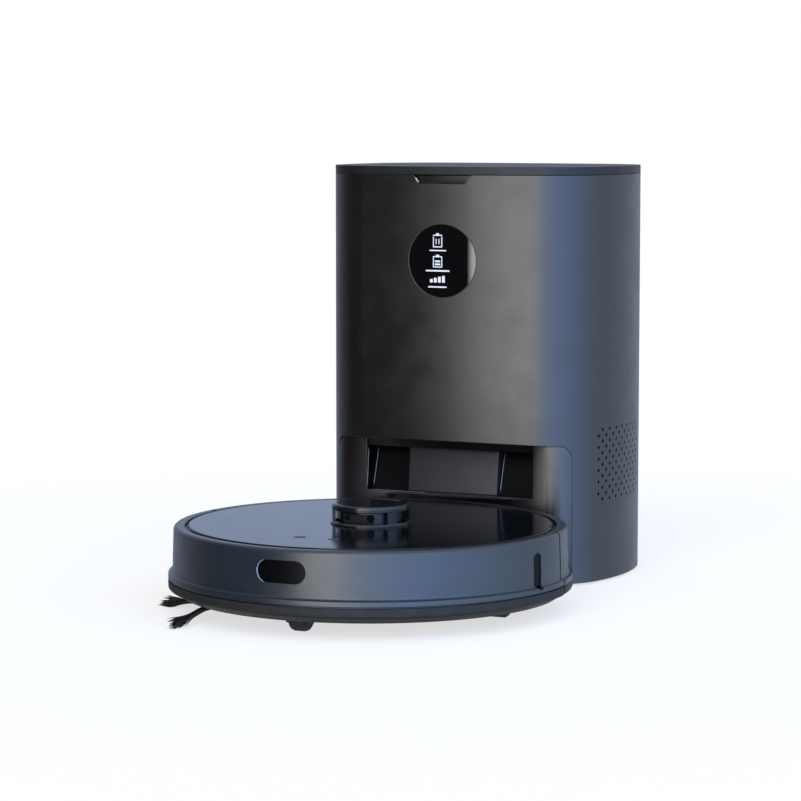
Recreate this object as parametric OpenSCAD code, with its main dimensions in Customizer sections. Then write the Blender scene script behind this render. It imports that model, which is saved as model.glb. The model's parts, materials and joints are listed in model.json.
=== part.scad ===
// Robot vacuum parked in its self-emptying dock, as an assembly of separate pieces.
// Millimetres, +Z up. The front faces -Y, the floor is z = 0, and the origin is the
// middle of the set's footprint. The dock stands at the back with the robot's tail in
// its bay.

/* [Dock body] */
// Width of the dock across its sides
dock_w = 277; // [270:1:300]
// Reach of the dock's front from its middle
dock_front = 106; // [102:1:112]
// Distance from the dock's middle to its flat back
dock_back = 100; // [98:1:104]
// Height of the dock with its lid closed
dock_h = 378.2; // [365:0.1:420]
// Radius of the dock's broad front curve
front_arc_r = 420; // [380:5:480]
// Radius of the dock's side curves
side_arc_r = 200; // [190:5:220]
// Radius of the dock's four upright corners
corner_r = 62; // [56:1:66]
// Wall of the dock's shell
dock_wall = 3; // [2.4:0.1:3.4]
// Thickness of the lid at its rim
lid_t = 7.2; // [6.4:0.1:9]
// Wall of the hollow lid
lid_wall = 2.4; // [1.8:0.1:2.8]
// Thickness of the base plate
base_t = 4; // [3:0.5:6]
// Height that the rubber feet lift the dock
foot_h = 2; // [1.5:0.5:4]
// Radius of a rubber foot
foot_r = 9; // [6:0.5:12]

/* [Dock front] */
// Height of the arched step over the docking bay
step_z = 129.5; // [126:0.5:140]
// Width of the stepped front
step_w = 234; // [228:1:238]
// Rounding of the step's upper corners
step_round = 14; // [8:1:20]
// Set-back of the lower front at its middle
panel_inset = 15; // [13:0.5:17]
// Radius of the turns at the lower front's two sides
panel_turn = 40; // [34:1:46]
// Depth of the sloping brow over the signal recess
brow_depth = 4; // [2:0.5:5]
// Wall of the bay moulding
bay_wall = 2.6; // [2:0.1:3]
// Width of the signal recess
recess_w = 166; // [150:1:172]
// Height of the signal recess
recess_h = 41; // [36:1:43]
// Depth of the recess at its top
recess_top_depth = 26; // [22:1:28]
// Depth of the recess at its foot
recess_foot_depth = 13; // [11:0.5:14]
// Width of the cover in the middle of the recess
cover_w = 89; // [70:1:110]
// Thickness of the dark window at the back of the recess
signal_t = 2; // [1.5:0.1:2.4]
// Diameter of the round display
display_d = 67; // [50:1:76]
// Drop from the dock's top to the display's middle
display_drop = 85; // [70:1:110]
// Width of the finger notch at the lid
notch_w = 58; // [44:1:70]
// Height of the finger notch
notch_h = 8; // [6:0.5:9]
// Depth of the finger notch
notch_depth = 6; // [5:0.5:6.5]

/* [Dock vents] */
// Length of each perforated panel along the side
vent_len = 94; // [70:1:100]
// Height of each perforated panel
vent_h = 82; // [60:1:90]
// Height of each panel's lower edge
vent_z = 72; // [60:1:80]
// Diameter of a vent hole
vent_hole_d = 3.2; // [2:0.1:4]
// Height between the holes of one column
vent_pitch = 10.6; // [9:0.1:13]
// Turn between neighbouring columns, in degrees
vent_step = 1.75; // [1.6:0.05:2.4]

/* [Bag and suction] */
// Wall of the bag tub
tub_wall = 2.5; // [2:0.1:3]
// Gap between the shell's outside and the tub
tub_inset = 9; // [8.6:0.1:12]
// Distance from the dock's middle to the back of the tub
tub_back = 52; // [48:1:53]
// Height of the tub's floor
tub_floor_z = 187; // [186:1:210]
// Width of the dust bag
bag_w = 188; // [150:1:196]
// Depth of the dust bag
bag_d = 116; // [90:1:118]
// Height of the dust bag
bag_h = 140; // [120:1:142]
// Width of the dust port, inside
port_w = 52; // [40:1:56]
// Height of the dust port, inside
port_h = 20; // [16:1:22]
// Height of the dust port's middle
port_z = 50; // [49:0.5:51]
// Wall of the dust duct
duct_wall = 2; // [1.5:0.1:2.5]
// Outside radius of the dock's motor housing
housing_r = 57; // [54:1:57]
// Radius of the dock's fan
dock_fan_r = 50; // [40:1:51]
// Blades on each fan
fan_blades = 9; // [7:1:11]

/* [Robot body] */
// Radius of the robot at its lower lip
robot_r = 175; // [175:0.5:178]
// Step from the lip in to the bumper's wall
lip_step = 4; // [3:0.1:4.5]
// Height of the robot's flat top
robot_h = 73.3; // [73:0.1:76]
// Height of the belly over the floor
belly_z = 13; // [12.5:0.1:13.4]
// Width of the ring round the glossy top panel
ring_w = 17.5; // [16:0.5:21]
// Wall of the bumper and the upper shell
skin = 2.6; // [2:0.1:3]
// Travel of the bumper
bumper_travel = 2.5; // [1.5:0.1:2.8]
// Half of the angle that the bumper covers
bumper_half = 95; // [92:0.5:98]
// Height of the top of the lower lip
lip_z = 34.6; // [33:0.2:36]
// Height of the groove round the lip
groove_z = 27.4; // [26:0.2:28.4]
// How far the robot's tail sits inside the dock's front
nest = 25; // [24:0.5:26]
// Width of the front sensor window
pill_w = 44; // [30:1:60]
// Height of the front sensor window
pill_h = 19; // [12:1:22]
// Height of the front window's middle
pill_z = 54.6; // [50:0.5:58]
// Width of the side sensor window
slot_w = 12; // [8:1:14]
// Height of the side sensor window
slot_h = 31; // [20:1:32]
// Height of the side window's middle
slot_z = 46; // [45:0.5:50]
// Direction of the side window from the front
slot_heading = 80; // [70:1:84]

/* [Turret] */
// Radius of the turret's cap
turret_r = 33.7; // [32:0.1:38]
// Height of the turret's top
turret_top = 91.2; // [89:0.2:95]
// Thickness of the cap
cap_t = 5; // [3.5:0.1:6]
// Radius of the spinning scanner
scanner_r = 27; // [24:0.5:28]
// Radius where the belt runs on the scanner
scanner_pulley_r = 28; // [25:0.5:29]
// Radius where the belt runs on the motor's pulley
motor_pulley_r = 5; // [4:0.5:7]
// Distance from the scanner to its motor
belt_reach = 50; // [48:1:56]

/* [Wheels and brushes] */
// Radius of a drive wheel
wheel_r = 30; // [28:0.5:31]
// Width of a drive wheel
wheel_w = 17; // [13:0.5:19]
// Distance from the middle to each drive wheel
wheel_x = 120.5; // [119:0.5:121.5]
// Distance from a drive wheel back to its arm's pivot
arm_reach = 52; // [50:1:54]
// Radius of the caster wheel
caster_r = 13.5; // [12:0.5:14]
// Width of the caster wheel
caster_w = 15; // [11:0.5:15]
// Distance from the middle to the caster's swivel
caster_y = 128; // [126:1:130]
// Offset of the caster's axle from its swivel
caster_trail = 5; // [3:0.5:5]
// Radius of the main brush over its fins
brush_r = 19; // [16:0.5:19]
// Length of the main brush
brush_len = 140; // [130:1:142]
// Distance of the main brush behind the middle
brush_y = 26; // [25:0.5:28]
// Distance of the side brush from the middle, on each axis
side_brush_at = 98; // [97:0.5:99]
// Reach of a side brush arm
side_brush_r = 79; // [72:0.5:79]

/* [Clearances] */
// Gap round pieces that turn or slide
run_gap = 0.3; // [0.2:0.05:0.45]
// Gap between the closed lid and the shell
seam = 0.4; // [0.3:0.05:0.6]
// Gap between the robot's lip and the bay's wall
bay_gap = 3; // [3:0.1:4]

/* [Hidden] */
$fn = 96;
fine = 360;
thru = 1;                       // how far a cut runs past the face it opens

graphite = "#3a3b3f";
dark = "#1d1e21";
gloss = "#0c0d10";
grey = "#5c5e63";
steel = "#b9bcc0";
brass = "#c8a24a";
rubber = "#18181a";
green = "#1f5b3a";
paper = "#e6e2d8";

// Where the dock and the robot stand
wall_r = robot_r - lip_step;
park = dock_front - nest + robot_r;
front_reach = max(robot_r, side_brush_at + side_brush_r);
dock_y = (park + front_reach - dock_back)/2;
robot_y = dock_y - park;

// The dock's outline: broad front and back arcs, side arcs and corner arcs, all tangent
dock_half = dock_w/2;
front_mid = [0, dock_front - front_arc_r];
side_mid = [dock_half - side_arc_r, 0];
front_span = front_arc_r - corner_r;
side_span = side_arc_r - corner_r;
mids = norm(side_mid - front_mid);
mid_dir = (side_mid - front_mid)/mids;
mid_along = (front_span*front_span - side_span*side_span + mids*mids)/(2*mids);
mid_across = sqrt(front_span*front_span - mid_along*mid_along);
corner = front_mid + mid_along*mid_dir + mid_across*[mid_dir[1], -mid_dir[0]];
function front_join(i) = front_mid + (corner - front_mid)*(front_arc_r - i)/front_span;
function side_join(i) = side_mid + (corner - side_mid)*(side_arc_r - i)/side_span;
function corner_edge_y(x) = corner[1] + sqrt(pow(corner_r, 2) - pow(x - corner[0], 2));

// Heights in the dock
base_top = foot_h + base_t;
lid_z = dock_h - lid_t;
shell_top = lid_z - seam;
flange_t = 3;
seal_h = 4.3;
flange_z = shell_top + seam/4 - seal_h - flange_t;
ledge_t = 3;
display_z = dock_h - display_drop;

// The lid's hinge, in the dock's own frame
hinge_y = dock_back - 14;
hinge_z = lid_z + lid_t/2;
nose_w = 120;
pin_r = 1.5;
pin_in = 12;
deck_gap = 5;

// The stepped lower front
step_half = step_w/2;
panel_y = dock_front - panel_inset;
panel_r = 2200;
panel_mid = [0, panel_y - panel_r];
panel_end = [step_half, corner_edge_y(step_half)];
// the turn touches the broad arc from inside and passes through the step's end
turn_span = norm(panel_end - panel_mid);
turn_dir = (panel_end - panel_mid)/turn_span;
turn_along = (pow(panel_r - panel_turn, 2) - panel_turn*panel_turn + turn_span*turn_span)
             /(2*turn_span);
turn_across = sqrt(pow(panel_r - panel_turn, 2) - turn_along*turn_along);
turn = panel_mid + turn_along*turn_dir + turn_across*[-turn_dir[1], turn_dir[0]];
turn_join = turn[0]*panel_r/(panel_r - panel_turn);
arch_r = 2900;
block_back = panel_y - 31;
bay_r = robot_r + bay_gap;
bay_top = robot_h + bay_gap + 0.2;
recess_z = bay_top + bay_wall;
cover_top = recess_top_depth - 12.7;
cover_foot = recess_foot_depth - 4;

// The duct and the bag
duct_w = port_w + 2*duct_wall;
duct_h = port_h + 2*duct_wall;
duct_front = -(park - bay_r) + 10;
riser_y = tub_back + 6;
collar_z = tub_floor_z + 117;
collar_t = 3;
card = [42, 30.7, 34];           // half width, drop and rise of the bag's card
collar_gap = 4;
collar_y = tub_back - tub_wall - collar_gap - collar_t;
bag_back = collar_y - 3;
bag_z = tub_floor_z + tub_wall + 0.5;

// The dock's motor
motor_y = -1;
housing_z = port_z + duct_h/2 + 8;
housing_wall = 3;
motor_r = 34;
shaft_r = 4;
fan_z = tub_floor_z - 38;

// Feet, rear panel and power inlet
foot_spots = [
    [-dock_half + 34, -46], [dock_half - 34, -46],
    [-dock_half + 44, dock_back - 24], [dock_half - 44, dock_back - 24], [0, dock_back - 24]
];
rear_w = 164;
rear_z0 = 14;
rear_z1 = flange_z - 16.4;
rear_screws = [for (x = [-1, 1], z = [rear_z0 + 20, (rear_z0 + rear_z1)/2, rear_z1 - 20])
    [x*(rear_w/2 - 5), z]];
inlet_x = -52;
inlet_z = rear_z0 + 24;
inlet_w = 26;
inlet_h = 18;
inlet_depth = 18;
socket_depth = 12;

// Charging contacts, in the robot's own frame
contact_x = 30;
contact_y = robot_r - 37;
contact_w = 10;
contact_l = 26;
contact_drop = 3;
plate_t = 1;
plate_half = [8.8, 14.8];
tongue_w = 140;
tongue_reach = 72;
tongue_top = base_top;

// Levels in the robot
chamfer_z = 18.6;
lip_in = wall_r - 0.4;
disc_r = robot_r - ring_w;
pan_r = robot_r - 14;
post_ring = robot_r - 21;
cliff_ring = robot_r - 25;
deck_in = 80;
deck_z = robot_h - 6.8;
deck_t = 2.4;
rim_z = deck_z + deck_t + 1.2;
inner_r = wall_r - skin - bumper_travel - 2*run_gap;
ring_in = disc_r + bumper_travel + 2*run_gap;
panel_t = 2.6;
side_gap = bumper_travel + 2*run_gap;
side_gap_deg = side_gap/wall_r*180/PI;
floor_t = 2.5;
deck_under = deck_z - run_gap;

// Wheel wells and arms
well_in = wheel_x - 37.5;
well_out = wheel_x + 12;
well_front = 38;
well_back = 66;
well_wall = 2;
arm_in = well_in + 3;
arm_out = wheel_x - wheel_w/2 - 1.5;
arm_z = wheel_r + 8;
pivot_r = 3;
ear_t = 3;
axle_r = 3;

// Caster
caster_well_r = 21;
caster_top = 38;
fork_top = 33;
fork_r = caster_well_r - 1;
stem_r = 3;
caster_pin_r = 2;

// Main brush
brush_z = brush_r + 0.5;
chamber_half = brush_len/2 + 6;
chamber_reach = brush_r + 5;
chamber_top = brush_z + brush_r + 3;
journal_r = 3;

// Dust bin and suction in the robot
bin_left = 72;
bin_right = 44;
bin_front = 75;
bin_wall = 2;
bin_low = 36;
bin_high = 64;
fan_at = [78, 104];
fan_case_r = 28;
robot_fan_r = 22;

// Battery and cliff sensors
battery_w = 72;
battery_front = -92;
battery_back = -14;
battery_h = 28;
board_front = 112;
board_half = 62;
board_back = 44;
board_z = belly_z + floor_t + battery_h + 4;
cliff_headings = [-16, 16, 64, 296];
post_headings = [28, 160, 213, 332];

// Side brush
side_hub_r = 10;
side_hub_top = belly_z - run_gap;
side_hub_low = 7;
side_shaft_r = 3;

// Turret
collar_r = turret_r + 1.3;
collar_hole_r = scanner_r + 4;
scanner_low = 56;
scanner_top = turret_top - cap_t - 1.2;
belt_low = 60.5;
belt_high = 65;
post_r = 7.6;
lidar_floor = 50;

// Buttons
button_x = 16;
button_y = 104;
button_r = 5;
button_travel = 0.8;

module at_dock() {
    translate([0, dock_y, 0]) children();
}

module at_robot() {
    translate([0, robot_y, 0]) children();
}

// Extrudes a profile drawn as [y, z] along X, centred
module along_x(w) {
    translate([-w/2, 0, 0]) rotate([90, 0, 90]) linear_extrude(w) children();
}

// Extrudes a profile drawn as [x, z] along Y, from y0 to y1
module along_y(y0, y1) {
    translate([0, y1, 0]) rotate([90, 0, 0]) linear_extrude(y1 - y0) children();
}

// Turns from the robot's front, to its left as it is seen from above and ahead
module heading(a) {
    rotate([0, 0, a]) children();
}

// A box given by its two corners
module block(low, high) {
    translate(low) cube(high - low);
}

module round_rect(low, high, r) {
    translate([low[0] + r, low[1]]) square([high[0] - low[0] - 2*r, high[1] - low[1]]);
    translate([low[0], low[1] + r]) square([high[0] - low[0], high[1] - low[1] - 2*r]);
    for (x = [low[0] + r, high[0] - r], y = [low[1] + r, high[1] - r])
        translate([x, y]) circle(r, $fn = 32);
}

// A revolved profile over the angle that the bumper covers, or over the rest
module front_turn() {
    rotate([0, 0, 270 - bumper_half]) rotate_extrude(angle = 2*bumper_half, $fn = fine)
        children();
}

module rear_turn(gap_deg) {
    rotate([0, 0, bumper_half + gap_deg - 90])
        rotate_extrude(angle = 360 - 2*(bumper_half + gap_deg), $fn = fine) children();
}

// ---- dock outline ----

module dock_outline(i = 0) {
    intersection() {
        union() {
            intersection() {
                translate(front_mid) circle(front_arc_r - i, $fn = 2*fine);
                translate(-front_mid) circle(front_arc_r - i, $fn = 2*fine);
                square([2*front_join(i)[0], 2*dock_w], center = true);
            }
            intersection() {
                translate(side_mid) circle(side_arc_r - i, $fn = fine);
                translate(-side_mid) circle(side_arc_r - i, $fn = fine);
                square([2*dock_w, 2*side_join(i)[1]], center = true);
            }
            for (sx = [-1, 1], sy = [-1, 1])
                translate([sx*corner[0], sy*corner[1]]) circle(corner_r - i);
        }
        translate([-dock_w, -dock_w]) square([2*dock_w, dock_w + dock_back - i]);
    }
}

// The arched outline of the stepped front, as [x, z]
module step_arch(i = 0) {
    intersection() {
        union() {
            translate([-step_half + i, base_top])
                square([2*(step_half - i), step_z - step_round - base_top]);
            translate([-(step_half - step_round), base_top])
                square([2*(step_half - step_round), step_z - i - base_top]);
            for (s = [-1, 1])
                translate([s*(step_half - step_round), step_z - step_round])
                    circle(step_round - i);
        }
        translate([0, step_z - arch_r]) circle(arch_r - i, $fn = 4*fine);
    }
}

// Everything behind the set-back surface of the lower front
module behind_panel(i = 0) {
    translate([0, 0, -thru]) linear_extrude(dock_h) {
        intersection() {
            translate(-panel_mid) circle(panel_r - i, $fn = 4*fine);
            square([2*turn_join, 2*dock_w], center = true);
        }
        // the turn is 0.01 mm oversize, so that it crosses the broad arc
        for (s = [-1, 1]) translate([s*turn[0], -turn[1]]) circle(panel_turn - i + 0.01);
        translate([-dock_w, -turn[1]]) square([2*dock_w, dock_w]);
    }
}

// What the sloping brow over the recess leaves out, grown by i
module brow_cut(i = 0) {
    top = recess_z + recess_h;
    slope = brow_depth/(step_z - top);
    difference() {
        block([-recess_w/2 - i, -dock_front, top - thru], [recess_w/2 + i, -block_back, step_z]);
        translate([0, -panel_mid[1], top - 2*thru])
            cylinder(r1 = panel_r - brow_depth - 2*thru*slope - i,
                     r2 = panel_r + thru*slope - i, h = step_z - top + 3*thru, $fn = 4*fine);
    }
}

module bay_cut(i = 0) {
    translate([0, -park, -thru]) cylinder(r = bay_r + i, h = bay_top + i + thru, $fn = fine);
}

// The signal recess, grown by i on every side
module recess(i = 0) {
    top = recess_z + recess_h;
    along_x(recess_w + 2*i)
        polygon([
            [-dock_front, recess_z - i], [-dock_front, top + i],
            [recess_top_depth + signal_t + i - panel_y, top + i],
            [recess_foot_depth + signal_t + i - panel_y, recess_z - i]
        ]);
}

module port_outline(i = 0) {
    round_rect([-port_w/2 - i, port_z - port_h/2 - i],
               [port_w/2 + i, port_z + port_h/2 + i], 3 + i);
}

// ---- dock pieces ----

module dock_walls() {
    difference() {
        translate([0, 0, foot_h]) linear_extrude(shell_top - foot_h) dock_outline();
        translate([0, 0, foot_h - thru]) linear_extrude(dock_h) dock_outline(dock_wall);
    }
}

// The fixed strip behind the lid, which holds the hinge pins
module hinge_deck() {
    difference() {
        intersection() {
            translate([0, 0, shell_top - ledge_t])
                linear_extrude(dock_h - shell_top + ledge_t) dock_outline();
            // its front edge is round about the hinge, so the lid swings clear
            union() {
                translate([-dock_w, hinge_y, 0]) cube([2*dock_w, dock_back, dock_h]);
                translate([-dock_w, hinge_y, hinge_z]) rotate([0, 90, 0])
                    cylinder(r = deck_gap - seam, h = 2*dock_w);
            }
        }
        block([-nose_w/2 - seam, 0, 0], [nose_w/2 + seam, hinge_y + lid_t/2 + seam, dock_h + thru]);
        intersection() {
            translate([0, 0, 0]) linear_extrude(shell_top) dock_outline(dock_wall);
            block([-dock_w, 0, 0], [dock_w, dock_back, shell_top]);
        }
        translate([-dock_w, hinge_y, hinge_z]) rotate([0, 90, 0]) cylinder(r = pin_r, h = 2*dock_w);
    }
}

module notch_outline() {
    lean = 6;
    low = shell_top - notch_h;
    polygon([
        [-notch_w/2, shell_top + thru], [-notch_w/2, shell_top],
        [-notch_w/2 + lean, low], [notch_w/2 - lean, low],
        [notch_w/2, shell_top], [notch_w/2, shell_top + thru]
    ]);
}

module vent_zone(side, extra = 0) {
    x = side > 0 ? dock_half - 24 : -dock_half - 24;
    translate([x, -vent_len/2 - 9 - extra, vent_z - extra])
        cube([48, vent_len + 2*extra, vent_h + 2*extra]);
}

module dock_shell() {
    color(graphite) at_dock() {
        difference() {
            dock_walls();
            along_y(-dock_front - thru, -block_back) step_arch();
            block([-tongue_w/2 - run_gap, -dock_front - thru, 0],
                  [tongue_w/2 + run_gap, -panel_y, base_top + thru]);
            for (s = [-1, 1]) vent_zone(s);
            translate([0, 0, display_z]) rotate([90, 0, 0])
                cylinder(r = display_d/2, h = 2*dock_front);
            along_y(-dock_front - thru, -dock_front + notch_depth) notch_outline();
            rear_cut(0);
        }
        // pocket behind the finger notch
        difference() {
            intersection() {
                linear_extrude(shell_top) dock_outline(dock_wall/2);
                block([-notch_w/2 - 4, -dock_front, shell_top - notch_h - 2],
                      [notch_w/2 + 4, -dock_front + notch_depth + 2, shell_top]);
            }
            along_y(-dock_front - thru, -dock_front + notch_depth) notch_outline();
        }
        // ledge that carries the tub's flange
        difference() {
            translate([0, 0, flange_z - ledge_t]) linear_extrude(ledge_t)
                dock_outline(dock_wall/2);
            translate([0, 0, flange_z - ledge_t - thru]) linear_extrude(ledge_t + 2*thru)
                dock_outline(dock_wall + 4);
        }
        // frame that the rear panel seats on
        difference() {
            block([-rear_w/2 - 4, dock_back - 2*dock_wall - 0.2, rear_z0 - 4],
                  [rear_w/2 + 4, dock_back - dock_wall, rear_z1 + 4]);
            rear_cut(8);
            for (p = rear_screws) translate([p[0], dock_back, p[1]]) rotate([90, 0, 0])
                cylinder(r = 1.7, h = 3*dock_wall);
        }
        hinge_deck();
    }
}

module rear_cut(i) {
    block([-rear_w/2 + i, dock_back - 4*dock_wall, rear_z0 + i],
          [rear_w/2 - i, dock_back + thru, rear_z1 - i]);
}

module dock_base() {
    tongue_y = -(park - bay_r) - tongue_reach;
    color(dark) at_dock() difference() {
        union() {
            intersection() {
                translate([0, 0, foot_h]) linear_extrude(base_t)
                    dock_outline(dock_wall + run_gap/2);
                behind_panel(0.5);
            }
            // tongue that runs under the robot's tail, with a ramped nose and treads
            along_x(tongue_w) polygon([
                [-panel_y + 10, foot_h], [tongue_y, foot_h], [tongue_y, foot_h + 0.8],
                [tongue_y + 18, tongue_top], [-panel_y + 10, tongue_top]
            ]);
            for (i = [0:3])
                along_x(tongue_w - 16)
                    translate([tongue_y + 22 + 4*i, tongue_top - 0.5]) square([1.6, 1.3]);
        }
        for (s = [-1, 1])
            block([s*contact_x - contact_w/2 - run_gap, contact_y - park - contact_l/2 - run_gap, 0],
                  [s*contact_x + contact_w/2 + run_gap, contact_y - park + contact_l/2 + run_gap,
                   tongue_top + thru]);
        for (p = foot_spots)
            translate([p[0], p[1], 0]) cylinder(r = foot_r + 0.1, h = foot_h + 1);
    }
}

module dock_feet() {
    color(rubber) at_dock() for (p = foot_spots)
        translate([p[0], p[1], 0]) difference() {
            cylinder(r = foot_r, h = foot_h + 1);
            translate([0, 0, -thru]) cylinder(r = foot_r/3, h = thru + foot_h/2);
        }
}

module bay_panel() {
    color(graphite) at_dock() difference() {
        intersection() {
            along_y(-dock_front, -block_back) step_arch(0.15);
            behind_panel();
        }
        difference() {
            intersection() {
                along_y(-dock_front, -block_back + thru) step_arch(bay_wall);
                behind_panel(bay_wall);
            }
            bay_cut(bay_wall);
            recess(bay_wall);
            brow_cut(bay_wall);
            along_y(-dock_front, duct_front) port_outline(duct_wall + 2);
        }
        bay_cut();
        recess();
        brow_cut();
        along_y(-dock_front, 0) port_outline();
    }
}

module signal_window() {
    top = recess_z + recess_h;
    color(gloss) at_dock() along_x(recess_w) polygon([
        [recess_top_depth - panel_y, top], [recess_top_depth + signal_t - panel_y, top],
        [recess_foot_depth + signal_t - panel_y, recess_z], [recess_foot_depth - panel_y, recess_z]
    ]);
}

module signal_cover() {
    top = recess_z + recess_h;
    color(grey) at_dock() difference() {
        along_x(cover_w) polygon([
            [cover_top - panel_y, top], [recess_top_depth - panel_y, top],
            [recess_foot_depth - panel_y, recess_z], [cover_foot - panel_y, recess_z]
        ]);
        along_x(cover_w - 2*bay_wall) polygon([
            [cover_top + bay_wall - panel_y, top - bay_wall],
            [recess_top_depth - panel_y + 1, top - bay_wall],
            [recess_foot_depth - panel_y + 1, recess_z + bay_wall],
            [cover_foot + bay_wall - panel_y, recess_z + bay_wall]
        ]);
    }
}

module port_seal() {
    color(rubber) at_dock() difference() {
        intersection() {
            along_y(-park, 0) port_outline(4);
            difference() {
                translate([0, -park, 0]) cylinder(r = bay_r, h = bay_top, $fn = fine);
                translate([0, -park, -thru])
                    cylinder(r = wall_r + 2*run_gap, h = dock_h, $fn = fine);
            }
            block([-dock_w, -park, 0], [dock_w, park, bay_top]);
        }
        along_y(-park, park) port_outline();
        // soft folds along the seal's outside
        for (r = [wall_r + 2.2, wall_r + 4.4]) difference() {
            along_y(-park, 0) port_outline(6);
            along_y(-park - thru, thru) port_outline(3);
            translate([0, -park, -thru]) cylinder(r = r, h = dock_h, $fn = fine);
            difference() {
                translate([0, -park, -thru]) cylinder(r = 2*park, h = dock_h);
                translate([0, -park, -2*thru]) cylinder(r = r + 0.9, h = 2*dock_h, $fn = fine);
            }
        }
    }
}

module rear_panel() {
    color(dark) at_dock() difference() {
        union() {
            block([-rear_w/2 + 0.2, dock_back - dock_wall, rear_z0 + 0.2],
                  [rear_w/2 - 0.2, dock_back, rear_z1 - 0.2]);
            for (i = [-2:2])
                block([i*26 - 1, dock_back - dock_wall - 3, rear_z0 + 60],
                      [i*26 + 1, dock_back - dock_wall + 0.5, rear_z1 - 14]);
        }
        block([inlet_x - inlet_w/2 - 0.1, dock_back - 10, inlet_z - inlet_h/2 - 0.1],
              [inlet_x + inlet_w/2 + 0.1, dock_back + thru, inlet_z + inlet_h/2 + 0.1]);
        for (p = rear_screws) translate([p[0], dock_back + thru, p[1]]) rotate([90, 0, 0]) {
            cylinder(r = 3.4, h = thru + 1.6);
            cylinder(r = 1.7, h = 10);
        }
    }
}

module dock_screws() {
    color(steel) at_dock() for (p = rear_screws)
        translate([p[0], dock_back, p[1]]) rotate([90, 0, 0]) difference() {
            union() {
                cylinder(r = 3.1, h = 1.6);
                cylinder(r = 1.5, h = 2*dock_wall);
            }
            for (a = [0, 90]) rotate([0, 0, a]) translate([-1.8, -0.35, -thru])
                cube([3.6, 0.7, thru + 0.8]);
        }
}

module power_inlet() {
    pin_gap = 4.3;
    color(dark) at_dock() translate([inlet_x, 0, inlet_z]) {
        difference() {
            union() {
                along_y(dock_back - 1.6, dock_back)
                    round_rect([-inlet_w/2, -inlet_h/2], [inlet_w/2, inlet_h/2], 3);
                along_y(dock_back - inlet_depth, dock_back - 1)
                    round_rect([-inlet_w/2 + 2, -inlet_h/2 + 2], [inlet_w/2 - 2, inlet_h/2 - 2], 2);
            }
            along_y(dock_back - socket_depth, dock_back + thru) {
                for (s = [-1, 1]) translate([s*pin_gap, 0]) circle(4.6);
                square([2*pin_gap, 7.6], center = true);
            }
        }
        for (s = [-1, 1]) translate([s*pin_gap, dock_back - 3, 0]) rotate([90, 0, 0])
            cylinder(r = 1.2, h = socket_depth - 3, $fn = 32);
    }
}

// The tub's outline, with i measured inwards from its outside
module tub_outline(i = 0) {
    intersection() {
        dock_outline(tub_inset + i);
        translate([-dock_w, -dock_w]) square([2*dock_w, dock_w + tub_back - i]);
    }
}

module bag_tub() {
    color(dark) at_dock() difference() {
        union() {
            translate([0, 0, tub_floor_z]) linear_extrude(flange_z + flange_t - tub_floor_z)
                tub_outline();
            translate([0, 0, flange_z]) linear_extrude(flange_t) difference() {
                dock_outline(dock_wall + 0.2);
                translate([-notch_w/2 - 5, -dock_front])
                    square([notch_w + 10, notch_depth + 2.4]);
            }
        }
        translate([0, 0, tub_floor_z + tub_wall]) linear_extrude(dock_h) tub_outline(tub_wall);
        // grille over the fan
        for (ring = [1:4], a = [0:60/ring:359])
            translate([0, motor_y, tub_floor_z - thru]) rotate([0, 0, a])
                translate([8*ring, 0, 0]) cylinder(r = 2.6, h = 3*tub_wall, $fn = 24);
        // way in for the duct
        block([-duct_w/2 - 0.2, 0, collar_z - duct_h/2 - 0.2],
              [duct_w/2 + 0.2, dock_back, collar_z + duct_h/2 + 0.2]);
    }
    // rails that hold the bag's collar
    color(dark) at_dock() for (s = [-1, 1]) difference() {
        block([s*(card[0] + 1) - 4, collar_y - 2.2, collar_z - card[1] - 3.3],
              [s*(card[0] + 1) + 4, tub_back - tub_wall + 0.5, collar_z + card[2] - 4]);
        block([-card[0] - 0.4, collar_y - 0.3, collar_z - card[1] - 0.3],
              [card[0] + 0.4, collar_y + collar_t + 0.3, collar_z + card[2] + 6]);
    }
}

module lid_seal() {
    color(rubber) at_dock() translate([0, 0, flange_z + flange_t]) difference() {
        linear_extrude(seal_h) tub_outline(-0.6);
        translate([0, 0, -thru]) linear_extrude(seal_h + 2*thru) tub_outline(2);
        // channel that makes the seal's two lips
        translate([0, 0, seal_h/2]) linear_extrude(seal_h) difference() {
            tub_outline(0.2);
            tub_outline(1.2);
        }
    }
}

module dust_bag() {
    bag_front = bag_back - bag_d;
    color(paper) at_dock() {
        translate([0, 0, bag_z]) linear_extrude(bag_h)
            round_rect([-bag_w/2, bag_front], [bag_w/2, bag_back], 30);
        along_y(bag_back - 2, collar_y - 0.2)
            round_rect([-24, collar_z - 14], [24, collar_z + 14], 6);
    }
}

module bag_collar() {
    color(paper) at_dock() difference() {
        along_y(collar_y, collar_y + collar_t)
            round_rect([-card[0], collar_z - card[1]], [card[0], collar_z + card[2]], 4);
        translate([0, 0, collar_z - port_z]) along_y(0, dock_back) port_outline(-1);
        along_y(0, dock_back) round_rect([-14, collar_z + 22], [14, collar_z + 30], 3);
    }
}

// Fan wheel: a back plate, a hub and curved blades, on its own axis
module fan_wheel(r, h, bore) {
    blade_r = 0.62*r;
    hub_r = bore + 4;
    difference() {
        union() {
            cylinder(r = r, h = 1.8);
            cylinder(r = hub_r, h = 0.8*h);
            translate([0, 0, 1]) linear_extrude(h - 1) intersection() {
                difference() {
                    circle(r - 0.4);
                    circle(hub_r - 0.5);
                }
                for (i = [0:fan_blades - 1]) rotate([0, 0, i*360/fan_blades])
                    translate([r/2, 0]) intersection() {
                        translate([0, -blade_r]) difference() {
                            circle(blade_r + 0.8);
                            circle(blade_r - 0.8);
                        }
                        translate([-r/2, -r/4]) square([r, r]);
                    }
            }
        }
        translate([0, 0, -thru]) cylinder(r = bore, h = h + 2*thru);
    }
}

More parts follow.
